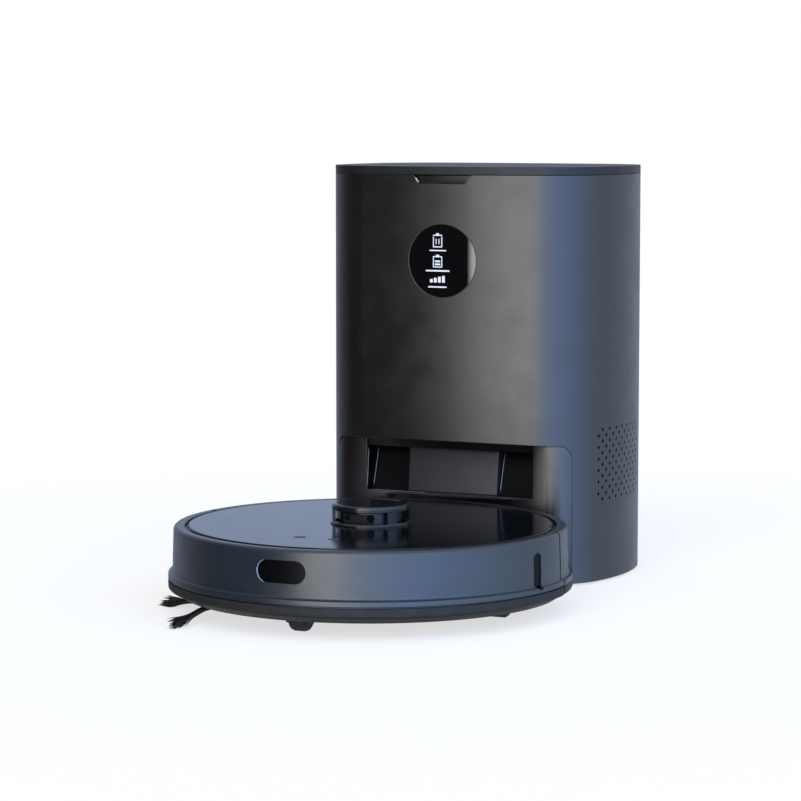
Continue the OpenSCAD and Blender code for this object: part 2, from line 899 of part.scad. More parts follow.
module fan_housing() {
    top = tub_floor_z;
    color(dark) at_dock() translate([0, motor_y, 0]) {
        difference() {
            translate([0, 0, housing_z]) cylinder(r = housing_r, h = top - housing_z);
            translate([0, 0, housing_z + housing_wall])
                cylinder(r = housing_r - housing_wall, h = top - housing_z - 2*housing_wall);
            translate([0, 0, top - housing_wall - thru]) cylinder(r = 38, h = 2*housing_wall);
            for (a = [0:30:359]) rotate([0, 0, a])
                block([0, -5, housing_z + 14], [housing_r + thru, 5, housing_z + 44]);
        }
        for (x = [-1, 1], y = [-1, 1])
            translate([x*(housing_r - 14), y*(housing_r - 30), base_top])
                cylinder(r = 5, h = housing_z - base_top + thru);
    }
}

module dock_motor() {
    color(steel) at_dock() translate([0, motor_y, 0]) {
        z0 = housing_z + housing_wall;
        difference() {
            translate([0, 0, z0]) cylinder(r = motor_r, h = fan_z - 12 - z0);
            for (a = [0:45:359]) rotate([0, 0, a])
                block([motor_r - 2, -3, z0 + 10], [motor_r + thru, 3, z0 + 36]);
        }
        translate([0, 0, z0]) cylinder(r = shaft_r, h = fan_z + 20 - z0);
    }
}

module dock_fan() {
    color(grey) at_dock() translate([0, motor_y, fan_z])
        fan_wheel(dock_fan_r, 26, shaft_r + run_gap);
}

// The duct's side view as [y, z]: along the floor, up the back and forward to the bag
module duct_side(i, ends) {
    low = port_z - duct_h/2 + i;
    high = port_z + duct_h/2 - i;
    top = collar_z + duct_h/2 - i;
    back = riser_y + duct_h - i;
    round_rect([duct_front - ends, low], [back, high], 6);
    round_rect([riser_y + i, low], [back, top], 6);
    round_rect([tub_back - tub_wall - collar_gap + 0.2 - ends, top - duct_h + 2*i],
               [back, top], 6);
    translate([duct_front - ends, low]) square([10, high - low]);
    translate([tub_back - tub_wall - collar_gap + 0.2 - ends, top - duct_h + 2*i])
        square([10, duct_h - 2*i]);
}

module dust_duct() {
    color(graphite) at_dock() difference() {
        along_x(duct_w) duct_side(0, 0);
        along_x(port_w) duct_side(duct_wall, 2);
    }
}

module display_window() {
    color(gloss) at_dock() intersection() {
        difference() {
            linear_extrude(dock_h) dock_outline(-0.3);
            translate([0, 0, -thru]) linear_extrude(dock_h + 2*thru) dock_outline(2.4);
        }
        translate([0, 0, display_z]) rotate([90, 0, 0])
            cylinder(r = display_d/2 - 0.2, h = 2*dock_front);
    }
}

module display_board() {
    y0 = -dock_front + 5.4;
    color(green) at_dock() translate([0, 0, display_z]) {
        translate([0, y0 + 1.6, 0]) rotate([90, 0, 0]) cylinder(r = display_d/2 - 4, h = 1.6);
        for (a = [45:90:359]) rotate([0, a, 0]) translate([display_d/2 - 9, y0 + 0.5, 0])
            rotate([90, 0, 0]) cylinder(r = 2, h = y0 + 0.5 + dock_front - 3.2, $fn = 32);
    }
}

module vent_panel(side) {
    cols = floor((vent_len/2 - 3)/(side_arc_r*sin(vent_step)));
    rows = floor((vent_h - 8)/vent_pitch);
    mid_turn = asin(9/side_arc_r);
    difference() {
        intersection() {
            linear_extrude(dock_h) difference() {
                dock_outline();
                dock_outline(dock_wall - 0.4);
            }
            vent_zone(side);
        }
        for (c = [-cols:cols], k = [0:rows - abs(c)%2])
            mirror([side > 0 ? 0 : 1, 0, 0])
                translate([side_mid[0], 0, vent_z + 4.5 + vent_pitch*(k + (abs(c)%2)/2)])
                    rotate([0, 0, c*vent_step - mid_turn]) translate([side_arc_r - 10, 0, 0])
                        rotate([0, 90, 0]) cylinder(d = vent_hole_d, h = 20, $fn = 16);
    }
}

module vent_panel_right() {
    color(graphite) at_dock() vent_panel(1);
}

module vent_panel_left() {
    color(graphite) at_dock() vent_panel(-1);
}

module dock_lid() {
    rear = hinge_y - deck_gap;
    color(graphite) at_dock() difference() {
        union() {
            translate([0, 0, lid_z]) linear_extrude(lid_t) intersection() {
                dock_outline();
                union() {
                    translate([-dock_w, -dock_w]) square([2*dock_w, dock_w + rear]);
                    translate([-nose_w/2, 0]) square([nose_w, hinge_y]);
                }
            }
            translate([-nose_w/2, hinge_y, hinge_z]) rotate([0, 90, 0])
                cylinder(r = lid_t/2, h = nose_w);
            // ring that drops inside the tub's mouth
            translate([0, 0, lid_z - 6]) linear_extrude(lid_t + 3) difference() {
                tub_outline(tub_wall + 2);
                tub_outline(tub_wall + 4);
            }
        }
        translate([0, 0, lid_z - thru]) linear_extrude(lid_t - lid_wall + thru)
            tub_outline(tub_wall + 4);
        for (s = [-1, 1])
            translate([s*(nose_w/2 - (pin_in + 1)/2), hinge_y, hinge_z]) rotate([0, 90, 0])
                cylinder(r = pin_r + run_gap, h = pin_in + 1 + thru, center = true);
    }
}

module lid_pins() {
    color(steel) at_dock() for (s = [-1, 1])
        translate([s*nose_w/2, hinge_y, hinge_z]) rotate([0, 90, 0])
            cylinder(r = pin_r, h = 2*pin_in, center = true);
}

module contact(side) {
    top = belly_z - plate_t/2 - run_gap;
    translate([side*contact_x, contact_y, 0]) difference() {
        union() {
            block([-contact_w/2, -contact_l/2, tongue_top - 1.6], [contact_w/2, contact_l/2, top - 1]);
            block([-contact_w/2 + 1, -contact_l/2 + 2, top - 1.5],
                  [contact_w/2 - 1, contact_l/2 - 2, top]);
        }
        block([-contact_w/2 + 1.4, -contact_l/2 + 1.4, 0],
              [contact_w/2 - 1.4, contact_l/2 - 1.4, top - 2.4]);
    }
}

module contact_right() {
    color(brass) at_robot() contact(1);
}

module contact_left() {
    color(brass) at_robot() contact(-1);
}

// ---- robot shells ----

module belly_hole(r, h = 12) {
    translate([0, 0, belly_z - thru]) cylinder(r = r, h = h + thru);
}

module wheel_well(side, i = 0) {
    x0 = side > 0 ? well_in - i : -well_out - i;
    block([x0, -well_front - i, belly_z - (i > 0 ? 0 : 2*thru)],
          [x0 + well_out - well_in + 2*i, well_back + i, deck_under + (i > 0 ? 0 : thru)]);
}

module pivot_bores(side) {
    translate([side*(well_in - 2*well_wall), arm_reach, arm_z]) rotate([0, side*90, 0])
        cylinder(r = pivot_r + run_gap, h = wheel_x - well_in + wheel_w);
}

module chassis() {
    top = groove_z - 0.2;
    color(dark) at_robot() difference() {
        union() {
            // pan with its chamfered edge
            rotate_extrude($fn = fine) polygon([
                [0, belly_z], [pan_r, belly_z], [pan_r + 2, belly_z + 0.4], [lip_in, chamfer_z],
                [inner_r, chamfer_z], [inner_r, top], [inner_r - floor_t, top],
                [inner_r - floor_t, chamfer_z], [pan_r - 1, belly_z + floor_t], [0, belly_z + floor_t]
            ]);
            // rear skirt, which carries the lip round behind the bumper
            rear_turn(side_gap_deg) polygon([
                [inner_r - 1, chamfer_z - 0.6], [lip_in, chamfer_z - 0.6], [robot_r - 0.8, chamfer_z + 1.6],
                [robot_r, chamfer_z + 3.4], [robot_r, top - 0.5], [robot_r - 0.5, top],
                [inner_r - 1, top]
            ]);
            for (s = [-1, 1]) {
                wheel_well(s, well_wall);
                ear(s);
            }
            // caster housing
            translate([0, -caster_y, belly_z]) cylinder(r = caster_well_r + 2, h = caster_top + 2 - belly_z);
            // brush chamber
            block([-chamber_half - 2, brush_y - chamber_reach - 2, belly_z],
                  [chamber_half + 2, brush_y + chamber_reach + 2, chamber_top + 2]);
            // gearbox of the side brush
            translate([-side_brush_at, -side_brush_at, belly_z]) cylinder(r = 17, h = 34);
            // posts under the main board
            for (x = [-1, 1], y = [board_back + 6, board_front - 8]) translate([x*(board_half - 6), -y, belly_z])
                cylinder(r = 4, h = board_z - 0.1 - belly_z);
            // posts that the upper shell screws down to
            for (a = post_headings) heading(a) translate([0, -post_ring, belly_z])
                cylinder(r = 4.5, h = deck_under - belly_z);
        }
        for (s = [-1, 1]) {
            difference() {
                wheel_well(s);
                ear(s);
            }
            pivot_bores(s);
        }
        translate([0, -caster_y, belly_z - thru]) cylinder(r = caster_well_r, h = caster_top - 4 - belly_z + thru);
        translate([0, -caster_y, 0]) cylinder(r = stem_r + run_gap, h = caster_top + 10);
        block([-chamber_half, brush_y - chamber_reach, belly_z - thru],
              [chamber_half, brush_y + chamber_reach, chamber_top]);
        // way from the brush to the dust bin
        block([-26, brush_y, bin_low + 2], [22, bin_front - 1, chamber_top - 2]);
        translate([-side_brush_at, -side_brush_at, 0]) {
            cylinder(r = side_shaft_r + run_gap, h = 60);
            translate([0, 0, belly_z + 2*floor_t]) cylinder(r = 15, h = 40);
        }
        // battery bay in the belly, with a rebate for its door
        block([-battery_w/2 - 1, battery_front - 1, 0], [battery_w/2 + 1, battery_back + 1, belly_z + floor_t + thru]);
        block([-battery_w/2 - 4, battery_front - 4, 0], [battery_w/2 + 4, battery_back + 4, belly_z + 1.2]);
        for (s = [-1, 1]) contact_plate(s, 0.2, thru);
        for (a = cliff_headings) heading(a)
            block([-9, -cliff_ring - 5.5, 0], [9, -cliff_ring + 5.5, belly_z + 1]);
    }
}

module ear(side) {
    x0 = side > 0 ? arm_out + 2*run_gap : -arm_out - 2*run_gap - ear_t;
    block([x0, arm_reach - 7, belly_z], [x0 + ear_t, arm_reach + 7, arm_z + 7]);
    block([x0, arm_reach + 3, belly_z], [x0 + ear_t, well_back + 1, arm_z + 7]);
}

// The bumper's and the upper shell's outer side, from the lip up to the flat top
function shell_curve(n = 8) = [for (i = [0:n])
    [wall_r - 4.6 + 3.8*cos(90*i/n), robot_h - 3.8 + 3.8*sin(90*i/n)]];
function lip_curve(n = 5) = [for (i = [0:n])
    [wall_r + 0.2 + (lip_step - 0.4)*(1 - sin(90*i/n)), lip_z - 2.2*cos(90*i/n) + 0.2]];

module shell_profile(low) {
    polygon(concat(
        [[robot_r - 0.6, low], [robot_r, low + 0.6], [robot_r, lip_z - 3.2]],
        lip_curve(),
        [[wall_r, lip_z + 1], [wall_r, pill_z - 8], [wall_r - 0.5, pill_z + 6]],
        shell_curve(),
        [
            [ring_in + 0.6, robot_h - 0.2], [ring_in, robot_h - 0.8], [ring_in, rim_z],
            [wall_r - skin - 3, rim_z], [wall_r - skin - 0.6, deck_z + deck_t - 1],
            [wall_r - skin, deck_z - 4], [wall_r - skin, lip_z + 1], [robot_r - skin - 1, lip_z - 2.4],
            [robot_r - skin - 1, low]
        ]));
}

module bumper() {
    color(graphite) at_robot() difference() {
        union() {
            front_turn() shell_profile(groove_z + 0.6);
            // web that backs the rubber strip
            front_turn() polygon([
                [robot_r - 3.2, chamfer_z + 0.6], [robot_r - 2.4, chamfer_z + 0.6],
                [robot_r - 2.4, groove_z + 1], [robot_r - 3.2, groove_z + 1]
            ]);
        }
        pill_cut(0);
        slot_cut(0);
    }
}

module pill_cut(i) {
    along_y(-robot_r, -wall_r/2) translate([0, pill_z])
        round_rect([-pill_w/2 + i, -pill_h/2 + i], [pill_w/2 - i, pill_h/2 - i], pill_h/2 - i - 0.01);
}

module slot_cut(i) {
    heading(slot_heading) along_y(-robot_r, -wall_r/2) translate([0, slot_z])
        round_rect([-slot_w/2 + i, -slot_h/2 + i], [slot_w/2 - i, slot_h/2 - i], slot_w/2 - i - 0.01);
}

// A window that follows the bumper's wall, set a little into its opening
module wall_band(out, deep) {
    difference() {
        cylinder(r = wall_r - out, h = robot_h, $fn = fine);
        translate([0, 0, -thru]) cylinder(r = wall_r - out - deep, h = robot_h + 2*thru, $fn = fine);
    }
}

module bumper_window() {
    color(gloss) at_robot() intersection() {
        wall_band(1.2, skin - 0.6);
        pill_cut(0.1);
    }
}

module side_window() {
    color(gloss) at_robot() intersection() {
        wall_band(1.2, skin - 0.6);
        slot_cut(0.1);
    }
}

module bumper_strip() {
    color(rubber) at_robot() front_turn() polygon([
        [robot_r - 2.4, chamfer_z + 0.6], [robot_r - 1.2, chamfer_z + 0.8],
        [robot_r - 0.2, chamfer_z + 1.8], [robot_r, chamfer_z + 3.2], [robot_r, groove_z - 1],
        [robot_r - 0.4, groove_z - 0.4], [robot_r - 2.4, groove_z - 0.4]
    ]);
}

module upper_shell() {
    color(graphite) at_robot() difference() {
        union() {
            // outer wall, and the webs that join it to the inner one
            rear_turn(side_gap_deg) {
                shell_profile(groove_z);
                translate([inner_r - 1, groove_z + 0.3])
                    square([robot_r - skin + 0.5 - inner_r, 1.8]);
                translate([inner_r - 1, deck_z - 7.2])
                    square([wall_r - skin + 1.5 - inner_r, 1.8]);
            }
            // inner wall behind the bumper, with the rail that the bumper's rim slides on
            rotate_extrude($fn = fine) polygon([
                [inner_r - floor_t, groove_z], [inner_r, groove_z], [inner_r, deck_z - 2],
                [inner_r - 2, deck_z], [inner_r - 4, deck_z + deck_t], [inner_r - 4, rim_z - run_gap],
                [disc_r + 2*run_gap, rim_z - run_gap], [disc_r + 2*run_gap, deck_z + deck_t],
                [deck_in, deck_z + deck_t], [deck_in, deck_z], [inner_r - floor_t, deck_z]
            ]);
            translate([0, 0, deck_z]) cylinder(r = deck_in + 2, h = deck_t);
        }
        translate([0, 0, deck_z - thru]) cylinder(r = collar_r + 1, h = 10);
        translate([0, belt_reach, deck_z - thru]) cylinder(r = 16, h = 10);
        for (s = [-1, 1]) translate([s*button_x, -button_y, deck_z - thru])
            cylinder(r = button_r + 1, h = 10);
        // opening that the dust bin slides out of
        block([-bin_left - run_gap, bin_front + 30, bin_low - run_gap],
              [bin_right + run_gap, robot_r + thru, bin_high + run_gap]);
        for (a = post_headings) heading(a) translate([0, -post_ring, deck_z - thru]) {
            cylinder(r = 1.8, h = 10, $fn = 32);
            translate([0, 0, 1 + thru]) cylinder(r = 3.2, h = 10, $fn = 32);
        }
    }
}

module top_panel() {
    low = deck_z + deck_t;
    top = robot_h + 0.3;
    color(gloss) at_robot() difference() {
        rotate_extrude($fn = fine) polygon([
            [0, top - panel_t], [disc_r - 4, top - panel_t], [disc_r - 4, low], [disc_r - 1.4, low],
            [disc_r, top - 1.2], [disc_r - 0.4, top - 0.4], [disc_r - 1.4, top], [0, top]
        ]);
        translate([0, 0, low - thru]) cylinder(r = collar_hole_r, h = 10);
        for (s = [-1, 1]) translate([s*button_x, -button_y, low - thru])
            cylinder(r = button_r + run_gap, h = 10);
    }
}

// ---- turret ----

module lidar_cap() {
    top = robot_h + 0.3;
    low = deck_z + deck_t;
    under = turret_top - cap_t;
    color(dark) at_robot() {
        // collar that stands on the top panel
        rotate_extrude() polygon([
            [collar_hole_r, top], [collar_r, top], [collar_r, top + 1], [turret_r, top + 2.4],
            [collar_hole_r, top + 2.4]
        ]);
        for (a = [60, 180, 300]) heading(a) intersection() {
            block([-4.5, -turret_r, top + 2], [4.5, -collar_hole_r + 0.4, under + 0.5]);
            cylinder(r = turret_r - 0.4, h = turret_top);
        }
        rotate_extrude() polygon(concat(
            [[0, under + 1.2], [turret_r - 4, under + 1.2], [turret_r - 4, under], [turret_r, under]],
            [for (a = [0:15:90]) [turret_r - 2.2 + 2.2*cos(a), turret_top - 2.2 + 2.2*sin(a)]],
            [[turret_r - 6, turret_top + 0], [turret_r - 7, turret_top - 0.5], [0, turret_top - 0.5]]
        ));
    }
}

module lens_cut(i) {
    for (s = [-1, 1]) translate([s*11, 0, (robot_h + scanner_top)/2 + 1]) rotate([90, 0, 0])
        cylinder(r = (s > 0 ? 3.6 : 2.8) - i, h = 2*scanner_r);
}

module lidar_rotor() {
    color(dark) at_robot() difference() {
        union() {
            translate([0, 0, scanner_low]) cylinder(r = scanner_r, h = scanner_top - scanner_low);
            rotate_extrude() polygon([
                [scanner_r - 1, belt_low - 2], [scanner_pulley_r + 2, belt_low - 2],
                [scanner_pulley_r + 2, belt_low - 1], [scanner_pulley_r, belt_low - 0.4],
                [scanner_pulley_r, belt_high + 0.2], [scanner_r - 1, belt_high + 0.2]
            ]);
        }
        translate([0, 0, scanner_low - thru])
            cylinder(r = post_r + run_gap, h = belt_high - scanner_low);
        // flat face that carries the two lenses
        block([-18, -scanner_r - thru, robot_h], [18, -scanner_r + 4, scanner_top - 1.4]);
        lens_cut(0);
        translate([0, 0, belt_high + 3]) cylinder(r = scanner_r - 3, h = 5);
    }
}

module lidar_lenses() {
    color("#203040") at_robot() intersection() {
        lens_cut(0.1);
        block([-18, -scanner_r + 3.6, robot_h], [18, -scanner_r + 9, scanner_top]);
    }
}

module lidar_base() {
    color(grey) at_robot() difference() {
        union() {
            translate([0, 0, lidar_floor]) cylinder(r = collar_r, h = 3);
            translate([0, 0, lidar_floor]) cylinder(r = post_r, h = belt_high - lidar_floor - 2);
            block([-13, 0, lidar_floor], [13, belt_reach + 13, lidar_floor + 3]);
            translate([0, belt_reach, lidar_floor]) cylinder(r = 11, h = belt_low - lidar_floor - 1);
            translate([0, belt_reach, lidar_floor]) cylinder(r = 1.5, h = belt_high - lidar_floor);
            for (a = [0, 90, 270]) heading(a) translate([0, 4 - collar_r, 0]) block(
                [-3, -4, lidar_floor], [3, 0, deck_under]);
        }
        translate([0, 0, lidar_floor - thru]) cylinder(r = 3, h = belt_high);
    }
}

module lidar_pulley() {
    color(brass) at_robot() translate([0, belt_reach, 0]) difference() {
        rotate_extrude() polygon([
            [0, belt_low - 0.6], [motor_pulley_r + 1.6, belt_low - 0.6], [motor_pulley_r + 1.6, belt_low - 0.2],
            [motor_pulley_r, belt_low], [motor_pulley_r, belt_high],
            [motor_pulley_r + 1.6, belt_high + 0.2], [motor_pulley_r + 1.6, belt_high + 0.8], [0, belt_high + 0.8]
        ]);
        translate([0, 0, belt_low - 1.6]) cylinder(r = 1.5 + run_gap, h = 10);
    }
}

// The belt's loop: two arcs of short chords, joined by their outer tangents
module belt_loop(r1, r2) {
    lean = asin((r1 - r2)/belt_reach);
    polygon(concat(
        [for (i = [0:60]) let (a = 180 - lean + i*(180 + 2*lean)/60) r1*[cos(a), sin(a)]],
        [for (i = [0:24]) let (a = lean + i*(180 - 2*lean)/24)
            [r2*cos(a), belt_reach + r2*sin(a)]]
    ));
}

module lidar_belt() {
    wide = 1;
    color(rubber) at_robot() translate([0, 0, belt_low + 0.6])
        linear_extrude(belt_high - belt_low - 1.2) difference() {
            belt_loop(scanner_pulley_r + run_gap + wide, motor_pulley_r + run_gap + wide);
            belt_loop(scanner_pulley_r + run_gap, motor_pulley_r + run_gap);
        }
}

// ---- wheels ----

module drive_arm(side) {
    mirror([side > 0 ? 0 : 1, 0, 0]) difference() {
        union() {
            // gearbox case with a round nose over the axle and a boss at the pivot
            along = [arm_in, arm_out];
            translate([along[0], 0, wheel_r]) rotate([0, 90, 0])
                cylinder(r = 14, h = along[1] - along[0]);
            translate([along[0], arm_reach, arm_z]) rotate([0, 90, 0])
                cylinder(r = 8, h = along[1] - along[0]);
            translate([along[0], 0, 0]) rotate([90, 0, 90]) linear_extrude(along[1] - along[0])
                polygon([[-2, wheel_r - 13.8], [arm_reach - 2, arm_z - 7.8],
                         [arm_reach, arm_z + 8], [0, wheel_r + 14]]);
            translate([well_in - 1.6, arm_reach, arm_z]) rotate([0, 90, 0])
                cylinder(r = pivot_r, h = arm_out + ear_t + 2*run_gap - well_in + 1.6);
            translate([along[1] - 1, 0, wheel_r]) rotate([0, 90, 0])
                cylinder(r = axle_r, h = wheel_w + 1.5);
        }
        // screw pockets in the case
        for (p = [[-6, wheel_r + 6], [20, wheel_r + 8], [34, wheel_r + 2]])
            translate([arm_out - 1.5, p[0], p[1]]) rotate([0, 90, 0]) cylinder(r = 2, h = 4, $fn = 32);
    }
}

module drive_arm_right() {
    color(grey) at_robot() drive_arm(1);
}

module drive_arm_left() {
    color(grey) at_robot() drive_arm(-1);
}

module drive_wheel(side) {
    lugs = 24;
    translate([side*wheel_x, 0, wheel_r]) rotate([0, 90, 0]) difference() {
        rotate_extrude(convexity = 4) translate([0, -wheel_w/2]) polygon([
            [0, 2], [wheel_r*0.62, 2], [wheel_r*0.66, 0.4], [wheel_r - 2, 0], [wheel_r, 1.6],
            [wheel_r, wheel_w - 1.6], [wheel_r - 2, wheel_w], [wheel_r*0.66, wheel_w - 0.4],
            [wheel_r*0.62, wheel_w - 2], [0, wheel_w - 2]
        ]);
        cylinder(r = axle_r + run_gap, h = 2*wheel_w, center = true);
        // tread grooves, each row half a step from the other
        for (i = [0:lugs - 1], row = [-1, 1])
            rotate([0, 0, (i + row/4)*360/lugs])
                translate([wheel_r - 1.4, -1, row > 0 ? 0.8 : -wheel_w])
                    cube([3, 2, wheel_w - 0.8]);
    }
}

module wheel_right() {
    color(rubber) at_robot() drive_wheel(1);
}

module wheel_left() {
    color(rubber) at_robot() drive_wheel(-1);
}

module caster_fork() {
    color(dark) at_robot() translate([0, -caster_y, 0]) {
        difference() {
            union() {
                translate([0, 0, belly_z + 0.6]) cylinder(r = fork_r, h = fork_top - belly_z - 0.6);
                translate([0, 0, fork_top - 1]) cylinder(r = stem_r, h = caster_top + 2 - fork_top);
                intersection() {
                    block([-caster_w/2 - 3.4, -caster_trail - 7, caster_r - 6],
                          [caster_w/2 + 3.4, -caster_trail + 7, belly_z + 2]);
                    cylinder(r = fork_r, h = fork_top);
                }
            }
            block([-caster_w/2 - 0.4, -caster_trail - caster_r - 8, -thru],
                  [caster_w/2 + 0.4, -caster_trail + caster_r + 0.8, 2*caster_r + 1]);
        }
        translate([-caster_w/2 - 3, -caster_trail, caster_r]) rotate([0, 90, 0])
            cylinder(r = caster_pin_r, h = caster_w + 6);
    }
}

module caster_wheel() {
    color(rubber) at_robot() translate([0, -caster_y - caster_trail, caster_r])
        rotate([0, 90, 0]) difference() {
            rotate_extrude() translate([0, -caster_w/2]) polygon([
                [0, 0], [caster_r - 2.6, 0], [caster_r - 0.8, 1.2], [caster_r, 3.4],
                [caster_r, caster_w - 3.4], [caster_r - 0.8, caster_w - 1.2],
                [caster_r - 2.6, caster_w], [0, caster_w]
            ]);
            cylinder(r = caster_pin_r + run_gap, h = 2*caster_w, center = true);
        }
}

// ---- brushes ----

// Half of the roller: six fins that wind from the middle towards one end
module roller_half(len) {
    fins = 6;
    core = 0.62*brush_r;
    linear_extrude(len, twist = 70, slices = 9, $fn = 8) for (i = [0:fins - 1])
        rotate([0, 0, i*360/fins]) polygon([
            [core - 1.5, -1.6], [brush_r - 0.6, -0.8], [brush_r, 0], [brush_r - 0.6, 0.8], [core - 1.5, 1.6]
        ]);
}

module main_brush() {
    half = brush_len/2;
    core = 0.62*brush_r;
    color("#3d4046") at_robot() translate([0, brush_y, brush_z]) rotate([0, 90, 0]) {
        translate([0, 0, -half]) cylinder(r = core, h = brush_len);
        for (s = [-1, 1]) {
            mirror([0, 0, s > 0 ? 0 : 1]) roller_half(half - 2);
            translate([0, 0, s > 0 ? half : -half - 4.6]) cylinder(r = journal_r, h = 4.6);
        }
    }
}

module brush_bearings() {
    half = brush_len/2;
    color(grey) at_robot() for (s = [-1, 1])
        translate([s*(half + 0.8), brush_y, brush_z]) rotate([0, s*90, 0]) difference() {
            union() {
                cylinder(r = 6, h = chamber_half - half - 0.8);
                translate([-6, -9, 2]) cube([12, 18, chamber_half - half - 2.8]);
            }
            translate([0, 0, -thru]) cylinder(r = journal_r + run_gap, h = 12);
        }
}

module brush_guard() {
    low = belly_z - 2.2;
    color(dark) at_robot() difference() {
        block([-chamber_half - 5, brush_y - chamber_reach - 4, low],
              [chamber_half + 5, brush_y + chamber_reach + 4, belly_z - 0.05]);
        block([-brush_len/2 - 1, brush_y - brush_r - 0.6, low - thru],
              [brush_len/2 + 1, brush_y + brush_r + 0.6, belly_z + thru]);
        for (s = [-1, 1]) block(
            [s*(chamber_half + 1) - 1.6, brush_y - 6, low - thru],
            [s*(chamber_half + 1) + 1.6, brush_y + 6, low + 1]);
    }
}

module side_brush() {
    tip = 2;
    fall = atan((side_hub_low - tip)/side_brush_r);
    color(rubber) at_robot() translate([-side_brush_at, -side_brush_at, 0]) {
        translate([0, 0, side_hub_low]) cylinder(r = side_hub_r, h = side_hub_top - side_hub_low);
        translate([0, 0, side_hub_low]) cylinder(r = side_shaft_r, h = 14);
        for (a = [30, 150, 270]) rotate([0, 0, a]) translate([0, 0, side_hub_low + 1.6])
            rotate([0, fall, 0]) linear_extrude(2.6) polygon([
                [side_hub_r - 3, -3], [side_brush_r*0.72, -2.6], [side_brush_r, -6.5],
                [side_brush_r, 6.5], [side_brush_r*0.72, 2.6], [side_hub_r - 3, 3]
            ]);
    }
}

// ---- inside the robot ----

module battery() {
    low = belly_z + floor_t + 0.2;
    color("#2b4a6b") at_robot() along_y(battery_front, battery_back)
        round_rect([-battery_w/2, low], [battery_w/2, low + battery_h], 4);
}

module battery_door() {
    color(dark) at_robot() difference() {
        union() {
            block([-battery_w/2 - 3.8, battery_front - 3.8, belly_z],
                  [battery_w/2 + 3.8, battery_back + 3.8, belly_z + 1.1]);
            block([-battery_w/2 - 0.8, battery_front - 0.8, belly_z],
                  [battery_w/2 + 0.8, battery_back + 0.8, belly_z + floor_t]);
        }
        for (x = [-1, 1]) translate([x*(battery_w/2 - 6), battery_back - 4, belly_z - thru])
            cylinder(r = 2.4, h = thru + 1);
    }
}

module dust_bin() {
    color("#4a4d52") at_robot() difference() {
        intersection() {
            block([-bin_left, bin_front, bin_low], [bin_right, robot_r, bin_high]);
            cylinder(r = wall_r - 0.1, h = robot_h, $fn = fine);
        }
        intersection() {
            block([-bin_left + bin_wall, bin_front + bin_wall, bin_low + bin_wall],
                  [bin_right - bin_wall, robot_r, bin_high - bin_wall]);
            cylinder(r = wall_r - 0.1 - bin_wall, h = robot_h, $fn = fine);
        }
        // mouth towards the brush, port towards the dock, and the filter's opening
        block([-24, bin_front - thru, bin_low + 3], [20, bin_front + bin_wall + thru, chamber_top]);
        along_y(bin_front + 30, robot_r) port_outline(-2);
        block([bin_right - bin_wall - thru, fan_at[1] - 17, bin_low + 4],
              [bin_right + thru, fan_at[1] + 17, bin_high - 4]);
    }
}

module bin_filter() {
    x0 = bin_right - bin_wall - 7;
    color(paper) at_robot() difference() {
        block([x0, fan_at[1] - 19, bin_low + bin_wall], [x0 + 6.8, fan_at[1] + 19, bin_high - bin_wall]);
        for (i = [-5:5]) block([x0 - thru, fan_at[1] + 3.2*i - 0.8, bin_low + 5],
                               [x0 + 5, fan_at[1] + 3.2*i + 0.8, bin_high - 5]);
    }
}

module robot_fan_housing() {
    low = belly_z + floor_t;
    color(grey) at_robot() translate([fan_at[0], fan_at[1], 0]) {
        difference() {
            union() {
                translate([0, 0, low]) cylinder(r = fan_case_r, h = deck_under - 4 - low);
                block([-fan_at[0] + bin_right + 0.2, -16, bin_low + 2], [0, 16, bin_high - 4]);
            }
            translate([0, 0, low + 20]) cylinder(r = fan_case_r - 2, h = deck_under - 26 - low);
            block([-fan_at[0] + bin_right - 1, -14, bin_low + 4], [-12, 14, bin_high - 6]);
            for (a = [190:20:330]) rotate([0, 0, a + 90])
                block([fan_case_r - 5, -1.6, low + 24], [fan_case_r + 1, 1.6, low + 40]);
        }
        translate([0, 0, low + 18]) cylinder(r = 2, h = 20);
    }
}

module robot_fan() {
    color(dark) at_robot() translate([fan_at[0], fan_at[1], belly_z + floor_t + 21])
        fan_wheel(robot_fan_r, 14, 2 + run_gap);
}

module main_board() {
    z = board_z;
    color(green) at_robot() {
        difference() {
            union() {
                block([-board_half, -board_front, z], [board_half, -board_back, z + 1.6]);
                for (p = [[-40, -90, 16, 10, 5], [-8, -84, 20, 20, 2.4], [30, -92, 12, 12, 6],
                          [34, -66, 18, 8, 4], [-50, -64, 14, 8, 4]])
                    translate([p[0], p[1], z]) cube([p[2], p[3], p[4] + 1.6]);
            }
            for (x = [-1, 1]) translate([x*(board_half - 4), -board_front + 4, z - thru]) cylinder(r = 1.6, h = 8);
        }
        for (x = [-1, 1]) translate([x*button_x, -button_y, z]) cylinder(r = 3, h = 8);
    }
}

module push_button(side) {
    top = robot_h + 0.3;
    z = board_z + 8;
    translate([side*button_x, -button_y, 0]) {
        rotate_extrude() polygon([
            [0, z + button_travel + run_gap], [2, z + button_travel + run_gap],
            [2, deck_z], [button_r, deck_z], [button_r, top - 0.4], [button_r - 0.6, top + 0.2], [0, top + 0.2]
        ]);
    }
}

module power_button() {
    color(grey) at_robot() push_button(1);
}

module home_button() {
    color(grey) at_robot() push_button(-1);
}

module charge_plates() {
    color(brass) at_robot() for (s = [-1, 1]) contact_plate(s);
}

module contact_plate(s, gap = 0, drop = plate_t/2) {
    reach = [plate_half[0] + gap, plate_half[1] + gap, plate_t/2];
    middle = [s*contact_x, contact_y, belly_z];
    block(middle - [reach[0], reach[1], drop], middle + reach);
}

module cliff_sensors() {
    color(gloss) at_robot() for (a = cliff_headings) heading(a)
        block([-8.8, -cliff_ring - 5.3, belly_z], [8.8, -cliff_ring + 5.3, belly_z + 1]);
}

